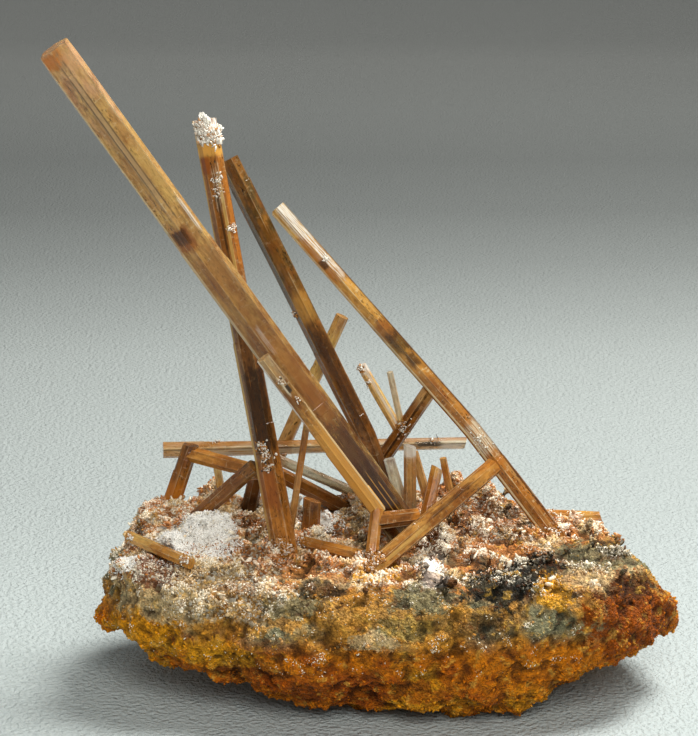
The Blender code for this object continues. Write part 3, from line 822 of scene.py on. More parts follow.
# Name, shape, where it may stand, count, spread, lengths, widths, tones and seed, then how deep it is sunk.
half_crust = (14000, 1.3, (0.3, 0.9), (0.35, 0.95), (1.4, 2.3))
CRUST = (
    ("sugar_crust_left", SUGAR_GRAIN, sugar_weight * raised * left * (1.0 - drift), *half_crust, 21),
    ("sugar_crust_right", SUGAR_GRAIN, sugar_weight * raised * ~left * (1.0 - drift), *half_crust, 22),
    ("druse_blades", DRUSE_BLADE, crusted * raised * clumps * (1.0 - drift),
     2600, 1.0, (0.6, 2.4), (0.5, 1.4), (1.2, 2.4), 23),
    ("white_needles", NEEDLE, drift, 13500, 0.9, (0.4, 1.1), (0.3, 0.6), (6.0, 1.0), 24, 0.35),
    ("stone_sugar", SUGAR_GRAIN, (1.0 - crusted) * sparse * raised * high_and_left,
     3000, 0.7, (0.25, 0.7), (0.25, 0.55), (1.4, 2.0), 25),
    ("stone_crumbs", SUGAR_GRAIN, (1.0 - crusted) * raised,
     9000, 0.9, (0.3, 1.2), (0.4, 1.3), (1.2, 4.0), 26, 0.5),
    ("foot_druse", SUGAR_GRAIN, by_feet, 9000, 1.0, (0.5, 2.0), (0.5, 1.3), (1.4, 2.0), 27),
)  # fmt: skip
crust_pieces = [crust(*row) for row in CRUST]
print("faces in the crust:", {piece.name: len(piece.data.polygons) for piece in crust_pieces})


# %% Finishes of the crust
GYPSUM_IOR = 1.52


def let_light_in(shader, clear, gloss=0.5):
    """How much light goes through the crystal, and how strongly its surface mirrors."""
    shader.inputs["Transmission Weight"].default_value = clear
    shader.inputs["IOR"].default_value = GYPSUM_IOR
    shader.inputs["Specular IOR Level"].default_value = gloss


def crust_finish(name, pale, lift, roughness, clear, gloss=0.5):
    """Grains take the stone's colour under them, lifted towards a pale colour by their own tone."""
    made, tree, shader = finish(name, roughness)
    colours = use(tree, hues)
    lightened = times(tree, ramp(tree, attribute(tree, "tone"), 0.25, 0.85), lift, clamp=True)
    feed(tree, shader.inputs["Base Color"], blend(tree, lightened, colours["Colour"], pale))
    let_light_in(shader, clear, gloss)
    return made


sugar_finish = crust_finish("gypsum_sugar", linear(255, 244, 220), 1.0, 0.16, 0.12)
needle_finish = crust_finish("white_drift", linear(254, 252, 246), 2.0, 0.5, 0.0)
crumb_finish = crust_finish("stone_crumb", linear(226, 140, 30), 0.4, 0.85, 0.0, 0.15)
for piece in crust_pieces:
    made = {"white_needles": needle_finish, "stone_crumbs": crumb_finish}.get(piece.name, sugar_finish)
    piece.data.materials.append(made)
    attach(piece, "root")

# %% [markdown]
# ## The prisms
#
# Each crystal is a long prism with opposite faces parallel. Fine growth ridges run along it, and here and
# there a layer ends in a small step. A cylinder of unit size is the start: its side is cut into rings, its
# ends are inset and poked, and every column of points is then carried to its place on the crystal's outline
# and along its middle line. Each point also keeps its place across, through and along its own crystal in an
# attribute, so that streaks follow the crystal even round a bend.

# %% Outline and middle line
HALF_SECTION = ((1.0, -0.15), (0.95, 0.25), (0.36, 1.0), (-0.62, 1.0))
FLATNESS = 0.8
SIDE_COLUMNS = 5
COLUMNS = 8 * SIDE_COLUMNS


def outline(roll):
    """The outline's points round a prism of half width 1, with every corner kept."""
    half = [(a, b * FLATNESS) for a, b in HALF_SECTION]
    turn = Matrix.Rotation(math.radians(roll), 2)
    corners = [turn @ Vector(corner) for corner in half + [(-a, -b) for a, b in half]]
    points = []
    for start, end in zip(corners, corners[1:] + corners[:1]):
        points += [start.lerp(end, step / SIDE_COLUMNS) for step in range(SIDE_COLUMNS)]
    return np.array(points)


def frame_of(direction):
    """Side and front directions of a prism that runs this way."""
    towards = -FORWARD
    front = (towards - direction * towards.dot(direction)).normalized()
    return front.cross(direction).normalized(), front


print("columns round a crystal:", COLUMNS)


# %% Growing one prism
def unit_prism(name, rings):
    """A unit cylinder cut into rings, with inset and poked ends."""
    bpy.ops.object.select_all(action="DESELECT")
    bpy.ops.mesh.primitive_cylinder_add(vertices=COLUMNS, radius=0.5, depth=1.0, location=(0.0, 0.0, 0.5))
    piece = newest(name)
    settle(piece)
    choose_parts(piece, "FACE", lambda face: abs(face.normal.z) > 0.9)
    bpy.ops.mesh.inset(thickness=0.12)
    bpy.ops.mesh.inset(thickness=0.16)
    bpy.ops.mesh.poke()
    choose_parts(piece, "EDGE", lambda edge: abs(edge.verts[0].co.z - edge.verts[1].co.z) > 0.5)
    bpy.ops.mesh.subdivide(number_cuts=rings - 1)
    bpy.ops.object.mode_set(mode="OBJECT")
    return piece


RING_GAP = 4.0
BLEND_REACH = 6.0
MOST_INWARD = 0.08


def grow(name, line, widths, roll=0.0, slant=0.0, chamfer=0.0, jag=0.0, ledges=(), root=3.0, steps=7):
    """One prism along its line, in millimetres, with ridges, layer steps and a worked tip."""
    chance = np.random.default_rng(sum(map(ord, name)))
    points = [seen(*place) for place in line]
    start = points[0] - (points[1] - points[0]).normalized() * root
    points = [start] + points[1:]
    lengths = np.cumsum([0.0] + [(b - a).length for a, b in zip(points, points[1:])])
    whole = lengths[-1]
    places = list(np.linspace(0.0, 1.0, max(8, int(whole / RING_GAP))))
    layers = []
    for _ in range(steps):
        at = chance.uniform(0.1, 0.97)
        begin = chance.integers(COLUMNS)
        layers.append((at * whole, begin, chance.integers(3, COLUMNS // 2), chance.uniform(0.05, 0.22)))
        places += [at - 0.1 / whole, at + 0.1 / whole]
    for share, _ in ledges:
        places += [share - 0.3 / whole, share + 0.3 / whole]
    places = np.array(sorted(places))
    piece = unit_prism(name, len(places) - 1)
    unit = points_of(piece.data)
    ring = np.rint(unit[:, 2] * (len(places) - 1)).astype(int)
    radius = np.linalg.norm(unit[:, :2], axis=1) / 0.5
    column = np.rint(np.arctan2(unit[:, 1], unit[:, 0]) / (2 * math.pi) * COLUMNS).astype(int) % COLUMNS
    column[radius < 1e-6] = 0
    rim = outline(roll)[column]
    ridge = np.where(np.arange(COLUMNS) % SIDE_COLUMNS == 0, 0.0, chance.uniform(0.0, 0.1, COLUMNS))
    broken = jag * chance.uniform(0.0, 1.0, COLUMNS) ** 1.5
    placed = np.empty_like(unit)
    growth = np.empty_like(unit)
    for i in range(len(unit)):
        along = places[ring[i]] * whole
        half = 0.5 * (widths[0] + (widths[1] - widths[0]) * places[ring[i]])
        for share, factor in ledges:
            if places[ring[i]] > share:
                half *= factor
        inward = ridge[column[i]]
        for at, begin, span, depth in layers:
            if along > at and (column[i] - begin) % COLUMNS < span:
                inward += depth
        x, y = rim[i] * (half * radius[i] - min(inward, MOST_INWARD * half) * (radius[i] > 0.99))
        end = whole - x * math.tan(math.radians(slant)) - broken[column[i]] * (0.4 + 0.6 * radius[i])
        if chamfer:
            end = min(end, whole - (x - half + chamfer))
        along *= end / whole if along > whole - BLEND_REACH else 1.0
        index = int(np.clip(np.searchsorted(lengths, along) - 1, 0, len(points) - 2))
        direction = (points[index + 1] - points[index]).normalized()
        for joint in range(1, len(points) - 1):
            before = (points[joint] - points[joint - 1]).normalized()
            after = (points[joint + 1] - points[joint]).normalized()
            share = min(max((along - lengths[joint]) / BLEND_REACH + 0.5, 0.0), 1.0)
            if 0.0 < share < 1.0:
                direction = before.lerp(after, share).normalized()
        side, front = frame_of(direction)
        share = (along - lengths[index]) / (lengths[index + 1] - lengths[index])
        base = points[index].lerp(points[index + 1], share)
        placed[i] = (base + side * x + front * y) * MM
        growth[i] = (-x * MM, y * MM, (along - root) * MM)
    set_points(piece.data, np.clip(placed, low_corner, high_corner))
    keep_on_points(piece.data, "growth", growth)
    keep_on_points(piece.data, "edge", (column % SIDE_COLUMNS == 0) & (radius > 0.99))
    return piece


# %% [markdown]
# ### What runs through a crystal
#
# Along a gypsum prism lie streaks, thin dark dashes of trapped clay and cloudy stretches, and its colour
# changes from the foot to the tip. The group reads the attribute, stretches noise along the crystal, and puts
# out the colour, a roughness and the height of its fine ridges; the colour also holds painted highlights along
# the corners and on cross cracks, and a painted glow in clear streaks. A second group lays a band over a
# stretch of one crystal, where the picture shows a darker or paler part; some pale bands are painted highlights.

# %% Group: the body of a crystal
body, given, result = group(
    "Crystal body",
    {
        "colour": ("Foot", "Low", "High", "Tip", "Streak", "Cloud", "Speck"),
        "value": ("Length", "Streaks", "Clouds", "Specks", "Light", "Seed"),
    },
    {"colour": ("Colour",), "value": ("Roughness", "Ridges"), "place": ("Place",)},
)
# EDGE_LIGHT and WARM_LIGHT are painted light: highlights on edges and cracks, and glow in clear streaks.
EDGE_LIGHT = linear(246, 226, 178)
WARM_LIGHT = linear(226, 186, 116)
STAIN = linear(138, 76, 22)
own = scaled(body, attribute(body, "growth", "Vector"), 1.0 / MM)
along = part_of(body, own, "Z")
shift = put(body, "ShaderNodeCombineXYZ", {"X": given["Seed"], "Y": given["Seed"], "Z": given["Seed"]}).outputs[0]
shifted = vector(body, "ADD", own, vector(body, "MULTIPLY", shift, (3.1, 5.3, 17.7)))


def drawn_out(across, down, detail=3.0, rough=0.55, offset=0.0):
    """Noise that is drawn out along the crystal."""
    at = vector(body, "ADD", vector(body, "MULTIPLY", shifted, (across, across, down)), (offset, offset, offset))
    return grain(body, at, 1.0, detail, rough)


uneven = drawn_out(0.35, 0.07)
share = calc(body, "DIVIDE", along, given["Length"])
share = calc(body, "ADD", share, times(body, calc(body, "SUBTRACT", uneven, 0.5), 0.35))
colour = blend(body, ramp(body, share, 0.0, 0.33), given["Foot"], given["Low"])
colour = blend(body, ramp(body, share, 0.33, 0.67), colour, given["High"])
colour = blend(body, ramp(body, share, 0.8, 0.97), colour, given["Tip"])
cloud = drawn_out(0.3, 0.14, 4.0, 0.6)
clouded = times(body, ramp(body, cloud, 0.4, 0.62, 0.0, 1.2), given["Clouds"], clamp=True)
colour = blend(body, clouded, colour, given["Cloud"])
stain = ramp(body, drawn_out(0.4, 0.2, 4.0, 0.6, 31.0), 0.5, 0.66, 0.0, 0.5)
colour = blend(body, stain, colour, STAIN)
streak = drawn_out(1.1, 0.05, 3.0, 0.5, 57.0)
streaked = times(body, ramp(body, streak, 0.46, 0.7, 0.0, 0.5), given["Streaks"])
colour = blend(body, streaked, colour, given["Streak"])
fine = ramp(body, drawn_out(2.4, 0.05, 3.0, 0.6, 83.0), 0.3, 0.7, 0.96, 1.04)
mottle = ramp(body, drawn_out(1.5, 0.5, 5.0, 0.65, 43.0), 0.3, 0.7, 0.76, 1.18)
colour = scaled(body, colour, times(body, mottle, fine))
# Painted glow: warm light painted into the clear streaks.
painted_glow = times(body, ramp(body, streak, 0.46, 0.28), times(body, given["Light"], 0.5))
colour = blend(body, painted_glow, colour, WARM_LIGHT)
dash = ramp(body, drawn_out(2.6, 0.8, 2.0, 0.5, 11.0), 0.57, 0.64)
gathered = ramp(body, drawn_out(0.5, 0.1, 3.0, 0.6, 71.0), 0.44, 0.62, 0.12, 1.0)
dash = times(body, times(body, dash, gathered), given["Specks"])
colour = blend(body, dash, colour, given["Speck"])
# Cross cracks painted as bright glints, a painted highlight.
crack_glint = ramp(body, drawn_out(0.45, 1.1, 5.0, 0.75, 37.0), 0.56, 0.68, 0.0, 0.75)
colour = blend(body, times(body, crack_glint, given["Light"]), colour, EDGE_LIGHT)
# Painted highlights along the prism's corners, broken up by noise.
wavering = calc(body, "SUBTRACT", drawn_out(0.5, 0.09, 3.0, 0.6, 7.0), 0.5)
edge = calc(body, "ADD", attribute(body, "edge"), wavering)
broken = ramp(body, drawn_out(0.6, 0.16, 3.0, 0.6, 23.0), 0.42, 0.6, 0.15, 1.0)
edge = times(body, ramp(body, edge, 0.62, 0.95), times(body, given["Light"], broken))
colour = blend(body, edge, colour, EDGE_LIGHT)
feed(body, result["Colour"], colour)
feed(body, result["Roughness"], ramp(body, cloud, 0.4, 0.65, 0.06, 0.22))
feed(body, result["Ridges"], drawn_out(4.0, 0.05, 3.0, 0.6, 91.0))
feed(body, result["Place"], own)
print("crystal group:", len(body.nodes), "nodes")

# %% Group: a band over one stretch
band, given, result = group(
    "Band",
    {
        "colour": ("Under", "Colour"),
        "place": ("Place",),
        "value": ("Middle", "Half", "Across", "Half across", "Striped", "Amount"),
    },
    {"colour": ("Colour",)},
)
ragged = grain(band, vector(band, "MULTIPLY", given["Place"], (0.8, 0.8, 0.42)), 1.0, 4.0, 0.6)
ragged = times(band, calc(band, "SUBTRACT", ragged, 0.5), 1.4)
length_off = calc(band, "ABSOLUTE", calc(band, "SUBTRACT", part_of(band, given["Place"], "Z"), given["Middle"]))
length_off = calc(band, "ADD", calc(band, "DIVIDE", length_off, given["Half"]), ragged)
width_off = calc(band, "ABSOLUTE", calc(band, "SUBTRACT", part_of(band, given["Place"], "X"), given["Across"]))
width_off = calc(band, "DIVIDE", width_off, given["Half across"])
width_off = calc(band, "ADD", width_off, times(band, ragged, 0.4))
mask = times(band, ramp(band, length_off, 1.3, 0.65), ramp(band, width_off, 1.3, 0.7))
lines = grain(band, vector(band, "MULTIPLY", given["Place"], (3.2, 3.2, 0.1)), 1.0, 3.0, 0.6)
lines = ramp(band, calc(band, "SUBTRACT", lines, times(band, given["Striped"], 0.14)), 0.28, 0.36)
mask = times(band, times(band, mask, lines), given["Amount"])
feed(band, result["Colour"], blend(band, mask, given["Under"], given["Colour"]))

# %% Crystal colours
TAN = linear(212, 160, 92)
PINK_TAN = linear(242, 192, 142)
HONEY = linear(228, 170, 80)
STRAW = linear(240, 198, 112)
CARAMEL = linear(196, 124, 44)
SIENNA = linear(148, 92, 36)
AMBER = linear(216, 128, 30)
BROWN = linear(128, 78, 30)
BRONZE = linear(94, 70, 32)
UMBER = linear(70, 40, 14)
SOOT = linear(34, 21, 9)
GREY_TAN = linear(180, 154, 116)
FROST = linear(238, 226, 196)
SILVER = linear(255, 252, 242)
RUST_RED = linear(146, 74, 24)

# Each finish: foot, low, high and tip colour, streak and its amount, cloud and its amount, speck and its
# amount, how strongly the painted highlights on edges and cracks and the painted glow in clear streaks show,
# then how clear the crystal is.
LOOK_INPUTS = ("Foot", "Low", "High", "Tip", "Streak", "Streaks", "Cloud", "Clouds", "Speck", "Specks", "Light")
LOOKS = {
    "long_leaning_crystal": (UMBER, BROWN, TAN, PINK_TAN, BROWN, 0.5, STRAW, 0.5, SOOT, 0.6, 0.55, 0.5),
    "steep_crystal": (CARAMEL, SIENNA, SIENNA, CARAMEL, UMBER, 0.6, BROWN, 0.5, SOOT, 0.9, 0.25, 0.2),
    "kinked_crystal": (UMBER, BROWN, BRONZE, BRONZE, UMBER, 0.5, CARAMEL, 0.35, SOOT, 0.95, 0.25, 0.35),
    "right_long_crystal": (CARAMEL, CARAMEL, HONEY, STRAW, CARAMEL, 0.4, BROWN, 0.45, SOOT, 0.8, 0.8, 0.45),
    "prop_crystal": (SIENNA, SIENNA, SIENNA, CARAMEL, BROWN, 0.5, HONEY, 0.45, UMBER, 0.7, 0.35, 0.4),
    "cross_crystal": (TAN, TAN, TAN, FROST, GREY_TAN, 0.4, FROST, 0.5, SOOT, 0.5, 0.6, 0.6),
    "pale_speckled_crystal": (TAN, TAN, STRAW, TAN, TAN, 0.3, HONEY, 0.3, UMBER, 1.0, 0.4, 0.45),
    "short_brown_crystal": (UMBER, BROWN, BROWN, BRONZE, UMBER, 0.5, CARAMEL, 0.4, SOOT, 0.6, 0.35, 0.3),
    "brown_root_crystal": (BROWN, SIENNA, SIENNA, BROWN, UMBER, 0.5, AMBER, 0.3, UMBER, 0.5, 0.25, 0.3),
    "clear_low_crystal": (GREY_TAN, GREY_TAN, FROST, TAN, GREY_TAN, 0.3, FROST, 0.4, UMBER, 0.7, 0.6, 0.65),
    "slim_crystal": (BROWN, TAN, CARAMEL, STRAW, BROWN, 0.4, HONEY, 0.3, UMBER, 0.4, 0.35, 0.4),
    # Painted shade: the stub gets dark browns for the steep crystal's shadow over it.
    "dark_stub_crystal": (UMBER, UMBER, BROWN, BROWN, SOOT, 0.5, BROWN, 0.3, SOOT, 0.4, 0.2, 0.15),
    "pale_stub_crystal": (HONEY, HONEY, STRAW, STRAW, CARAMEL, 0.3, FROST, 0.3, UMBER, 0.2, 0.5, 0.5),
    "lying_left_crystal": (HONEY, HONEY, STRAW, HONEY, CARAMEL, 0.4, AMBER, 0.3, UMBER, 0.3, 0.5, 0.45),
    "lying_front_crystal": (SIENNA, AMBER, CARAMEL, CARAMEL, SIENNA, 0.4, HONEY, 0.4, UMBER, 0.3, 0.4, 0.45),
    "lying_right_crystal": (CARAMEL, CARAMEL, HONEY, CARAMEL, BROWN, 0.4, HONEY, 0.4, UMBER, 0.4, 0.5, 0.4),
    # Painted shade: the block gets dark browns for the shade of the hollow it stands in.
    "dark_block_crystal": (UMBER, BROWN, UMBER, BROWN, SOOT, 0.5, CARAMEL, 0.3, SOOT, 0.5, 0.2, 0.15),
    "grey_upright_crystal": (CARAMEL, GREY_TAN, TAN, FROST, BROWN, 0.4, CARAMEL, 0.4, UMBER, 0.5, 0.6, 0.5),
    "thin_upright_crystal": (BROWN, TAN, TAN, TAN, BROWN, 0.4, HONEY, 0.3, UMBER, 0.4, 0.4, 0.4),
    "orange_upright_crystal": (SIENNA, SIENNA, CARAMEL, HONEY, UMBER, 0.5, AMBER, 0.4, UMBER, 0.5, 0.5, 0.35),
    "tiny_upright_crystal": (BROWN, TAN, CARAMEL, TAN, BROWN, 0.4, HONEY, 0.3, UMBER, 0.4, 0.4, 0.4),
    "white_topped_crystal": (AMBER, CARAMEL, FROST, SILVER, TAN, 0.3, FROST, 0.5, UMBER, 0.3, 0.6, 0.55),
    "front_crystal": (HONEY, CARAMEL, BROWN, GREY_TAN, BROWN, 0.4, HONEY, 0.35, UMBER, 0.5, 0.6, 0.4),
    "forked_back_crystal": (UMBER, BROWN, BROWN, TAN, UMBER, 0.5, CARAMEL, 0.4, SOOT, 0.7, 0.3, 0.25),
    "splintered_fork": (CARAMEL, STRAW, STRAW, PINK_TAN, CARAMEL, 0.4, PINK_TAN, 0.4, UMBER, 0.5, 0.6, 0.45),
    "pale_fork": (STRAW, FROST, FROST, FROST, TAN, 0.3, TAN, 0.4, TAN, 0.2, 0.6, 0.6),
    "front_foot": (AMBER, CARAMEL, CARAMEL, CARAMEL, SIENNA, 0.4, HONEY, 0.3, UMBER, 0.4, 0.4, 0.4),
    "front_bar": (UMBER, BROWN, BROWN, CARAMEL, UMBER, 0.5, CARAMEL, 0.3, SOOT, 0.5, 0.3, 0.3),
    "elbow_crystal": (CARAMEL, BROWN, BROWN, UMBER, UMBER, 0.5, CARAMEL, 0.4, SOOT, 0.9, 0.3, 0.25),
    "elbow_arm": (CARAMEL, CARAMEL, SIENNA, BROWN, BROWN, 0.4, HONEY, 0.4, SOOT, 0.4, 0.35, 0.35),
}  # fmt: skip

# %% Bands on single crystals
# Share of the length at the middle, half length in millimetres, place across and half width across in
# millimetres, colour and amount.
BANDS = {
    "long_leaning_crystal": (
        (0.985, 2.2, -2.4, 3.2, AMBER, 0.8),
        (0.97, 2.4, 2.6, 2.6, PINK_TAN, 0.5),
        # Painted highlight along the left edge.
        (0.5, 90.0, -4.1, 0.35, EDGE_LIGHT, 0.9),
        (0.84, 22.0, -0.6, 0.9, GREY_TAN, 0.75),
        (0.86, 18.0, -1.1, 0.16, UMBER, 0.55),
        (0.82, 22.0, 0.1, 0.16, UMBER, 0.55),
        (0.75, 9.0, 2.0, 1.3, STRAW, 0.45),
        (0.64, 3.2, -1.6, 2.2, RUST_RED, 0.8),
        (0.645, 2.0, -1.8, 1.6, UMBER, 0.9),
        (0.67, 5.0, 3.1, 0.4, SILVER, 0.6),
        (0.43, 4.0, 0.0, 0.5, SILVER, 0.6),
        (0.42, 30.0, 0.0, 4.0, SIENNA, 0.45),
        (0.14, 18.0, -0.4, 4.4, linear(90, 46, 10), 0.85),
        (0.1, 9.0, 0.4, 2.2, linear(56, 26, 4), 0.7),
        (0.34, 14.0, 1.6, 1.6, CARAMEL, 0.5),
        (0.1, 7.0, 0.9, 0.14, HONEY, 0.8),
        (0.08, 6.0, 2.1, 0.14, HONEY, 0.8),
    ),
    "steep_crystal": (
        (0.975, 3.2, 0.0, 9.0, SILVER, 0.95),
        (0.93, 2.0, 0.0, 9.0, HONEY, 0.8),
        (0.895, 2.2, -1.8, 1.2, RUST_RED, 0.8),
        (0.84, 5.0, 0.3, 1.0, FROST, 0.35),
        (0.76, 12.0, 2.5, 0.5, AMBER, 0.35),
        (0.76, 9.0, -0.2, 0.3, SOOT, 0.75),
        (0.74, 12.0, 0.9, 0.4, STRAW, 0.5),
        (0.33, 12.0, 0.4, 2.6, SOOT, 0.85),
        (0.5, 60.0, -3.0, 0.3, STRAW, 0.5),
        (0.15, 5.0, -1.0, 2.0, RUST_RED, 0.6),
    ),
    "kinked_crystal": (
        (0.6, 4.0, 0.4, 2.0, HONEY, 0.45),
        (0.4, 16.0, 0.6, 1.8, UMBER, 0.75),
    ),
    "right_long_crystal": (
        # The next two bands are painted highlights: a bright face near the top and a bright line along the edge.
        (0.91, 13.0, 0.6, 1.5, SILVER, 0.9),
        (0.5, 70.0, -1.95, 0.25, EDGE_LIGHT, 0.85),
        (0.84, 7.0, -0.9, 0.9, CARAMEL, 0.8),
        (0.83, 1.4, -0.7, 0.8, UMBER, 0.8),
        (0.62, 3.0, 0.0, 2.0, RUST_RED, 0.6),
        (0.585, 3.5, 0.2, 1.8, SOOT, 0.7),
        (0.53, 2.0, 0.4, 1.2, UMBER, 0.75),
        (0.5, 60.0, 2.1, 0.25, UMBER, 0.7),
        (0.44, 5.0, 0.2, 0.6, RUST_RED, 0.5),
        (0.29, 5.0, 0.2, 1.8, FROST, 0.75),
        (0.22, 1.0, 0.0, 2.0, CARAMEL, 0.7),
    ),
    "prop_crystal": (
        (0.2, 9.0, 0.4, 0.5, STRAW, 0.5),
        (0.62, 7.0, -0.6, 0.6, UMBER, 0.6),
    ),
    "cross_crystal": (
        (0.5, 60.0, -1.3, 0.6, CARAMEL, 0.6),
        (0.25, 18.0, 0.8, 0.7, FROST, 0.7),
        (0.5, 60.0, 0.1, 0.14, UMBER, 0.7),
        (0.88, 3.5, 0.0, 0.6, SOOT, 0.85),
        (0.95, 2.5, 0.9, 0.8, SILVER, 0.7),
    ),
    "grey_upright_crystal": (
        (0.95, 1.4, 0.0, 3.0, SILVER, 0.7),
    ),
    "front_crystal": (
        # Painted highlight: a bright line along the edge.
        (0.8, 13.0, -1.7, 0.3, SILVER, 0.9),
        (0.83, 2.4, 0.2, 0.7, FROST, 0.8),
        (0.81, 1.2, 0.5, 0.5, SOOT, 0.9),
        (0.3, 16.0, 0.0, 4.0, HONEY, 0.75),
        # Painted highlight: a bright line along the edge.
        (0.3, 20.0, 1.6, 0.2, EDGE_LIGHT, 0.7),
    ),
    "forked_back_crystal": (
        (0.5, 20.0, 0.0, 0.3, SOOT, 0.8),
    ),
    "splintered_fork": (
        (0.5, 9.0, 0.4, 0.4, SILVER, 0.6),
        (0.96, 1.6, 0.0, 3.0, SILVER, 0.7),
    ),
    "front_bar": (
        # Painted highlight: a thin bright line on the top edge.
        (0.5, 8.0, 2.0, 0.1, EDGE_LIGHT, 0.5),
    ),
    "elbow_crystal": (
        (0.1, 6.0, 0.0, 5.0, AMBER, 0.5),
    ),
}
print("looks:", len(LOOKS), "with bands:", len(BANDS))


# %% Making a crystal's finish
CRYSTAL_GLOSS = 0.3
LEAST_STRIPED_HALF = 2.0


def crystal_finish(name, length):
    """The finish of one crystal: its body, then its bands one over the other."""
    *inputs, clear = LOOKS[name]
    made, tree, shader = finish(name, 0.2)
    seed = float(sum(map(ord, name)) % 97)
    inside = use(tree, body, Length=length, Seed=seed, **dict(zip(LOOK_INPUTS, inputs)))
    colour = inside["Colour"]
    for share, half, across, half_across, tint, amount in BANDS.get(name, ()):
        striped = tint in (SILVER, FROST) and half > LEAST_STRIPED_HALF
        colour = use(
            tree,
            band,
            Under=colour,
            Colour=tint,
            Place=inside["Place"],
            Middle=share * length,
            Half=half,
            Across=across,
            Half_across=half_across,
            Striped=float(striped),
            Amount=amount,
        )["Colour"]
    feed(tree, shader.inputs["Base Color"], colour)
    feed(tree, shader.inputs["Roughness"], inside["Roughness"])
    let_light_in(shader, clear, CRYSTAL_GLOSS)
    raise_by(tree, shader, inside["Ridges"], 0.25, 0.25)
    return made


# %% All the crystals
def prism(line, widths, **details):
    """One row of the table: the middle line, the widths at foot and tip, and what else differs."""
    return dict(details, line=line, widths=widths)


CRYSTALS = {
    "long_leaning_crystal": [
        prism(((5.75, 35, 1), (-83, 157, -18)), (8.9, 9.2),
              roll=8, ledges=((0.62, 0.97),), chamfer=0.8, root=0, steps=14),
    ],
    "steep_crystal": [
        prism(((-25, 31, -9), (-45.2, 139.3, 16)), (6.8, 7.2),
              roll=-14, ledges=((0.5, 0.95),), jag=2.6, steps=14),
    ],
    "kinked_crystal": [
        prism(((3.2, 37.25, 18.5), (-4.5, 59.5, 20), (-26.4, 103.6, 23), (-39.3, 129.1, 26)), (5.2, 6.3),
              roll=-20, steps=12),
    ],
    "right_long_crystal": [
        prism(((42.5, 34.75, 6), (21.3, 62.4, 12), (-27.0, 117.1, 22)), (5.4, 4.9),
              roll=24, chamfer=0.9, steps=12),
    ],
    "prop_crystal": [prism(((-2.5, 27.25, -19), (27.4, 52.6, 4.2)), (4.75, 4.75), roll=10)],
    "cross_crystal": [
        prism(((-55.5, 56.5, 21.1), (20, 58.25, 33)), (4.25, 3.6),
              roll=14, ledges=((0.55, 0.95),), slant=-16, steps=10, root=0),
    ],
    "pale_speckled_crystal": [prism(((-29.5, 48.5, 30), (-10.75, 90, 26.6)), (3.7, 3.6), roll=12)],
    "short_brown_crystal": [prism(((-48, 38.8, 5.5), (-32.6, 52.4, -2.7)), (4.25, 4.25), roll=-8)],
    "brown_root_crystal": [prism(((-11.75, 42.75, 17.5), (-28, 51.25, 7.5)), (4.0, 4.0), roll=6)],
    "clear_low_crystal": [prism(((-5.5, 45, 21.5), (-27, 54.25, 18)), (3.0, 3.0), roll=-12)],
    "slim_crystal": [prism(((-24, 34.5, 2), (-19.25, 65, 4.6)), (2.0, 1.8))],
    "dark_stub_crystal": [prism(((-34, 41.5, 22), (-32.25, 49.5, 22)), (4.5, 4.2), roll=10, slant=12)],
    "pale_stub_crystal": [prism(((-40.5, 44, 24), (-42, 52.5, 24)), (2.25, 2.25))],
    "lying_left_crystal": [prism(((-50.5, 29, -21), (-64.25, 35, -7.5)), (3.0, 3.0), roll=10)],
    "lying_front_crystal": [prism(((-6.2, 30, -13.5), (-21.4, 33.8, -6.3)), (3.5, 3.3), roll=-12, root=0)],
    "lying_right_crystal": [prism(((39.5, 40.25, 19.5), (54, 39.75, 18)), (3.3, 3.0), slant=20)],
    "dark_block_crystal": [prism(((-18.75, 34, 3), (-18.25, 44, 3.5)), (5.0, 4.8), roll=12, slant=-14)],
    "grey_upright_crystal": [
        prism(((6.3, 36, 9.2), (6.25, 57.5, 9.2)), (3.5, 3.5),
              roll=-14, slant=-12, root=0.5),
    ],
    "thin_upright_crystal": [prism(((12, 39.5, 15.5), (7.25, 56, 15)), (2.5, 2.4))],
    "orange_upright_crystal": [prism(((9.4, 36, 4.6), (13, 52, 12)), (3.5, 3.4), roll=9, slant=-18, root=1)],
    "tiny_upright_crystal": [prism(((16.75, 44, 25), (14.5, 54.5, 24)), (2.0, 2.0))],
    "white_topped_crystal": [prism(((6, 37.5, 13.6), (1, 54.25, 13.2)), (3.5, 3.2), roll=-6)],
    "front_crystal": [
        prism(((-1.5, 41, -6.2), (-30.5, 79.5, -13)), (4.0, 3.8), roll=16, root=0),
        prism(((-3.5, 29, -12.5), (-2, 41.75, -6.8)), (3.6, 3.5), roll=-8, look="front_foot"),
        prism(((-2.25, 38.75, -7.6), (8.25, 40, -3.4)), (4.6, 4.4), roll=-16, root=0, look="front_bar"),
    ],
    "forked_back_crystal": [
        prism(((-6.75, 45.25, 30), (11.2, 71.5, 14.9)), (4.25, 4.25), roll=10),
        prism(((3.75, 61, 21), (-6, 77.75, 23)), (2.8, 2.8), jag=0.9, root=0, look="splintered_fork"),
        prism(((4.25, 62.25, 20), (1.25, 76, 17)), (1.8, 1.7), root=0, look="pale_fork"),
    ],
    "elbow_crystal": [
        prism(((-53.75, 42, 17), (-48.5, 57.75, 17)), (4.75, 4.5), roll=12, slant=10),
        prism(((-48.5, 55.5, 17), (-31.2, 50.9, 3.2)), (4.25, 4.0), roll=-10, root=0, look="elbow_arm"),
    ],
}  # fmt: skip
GROWN = {}
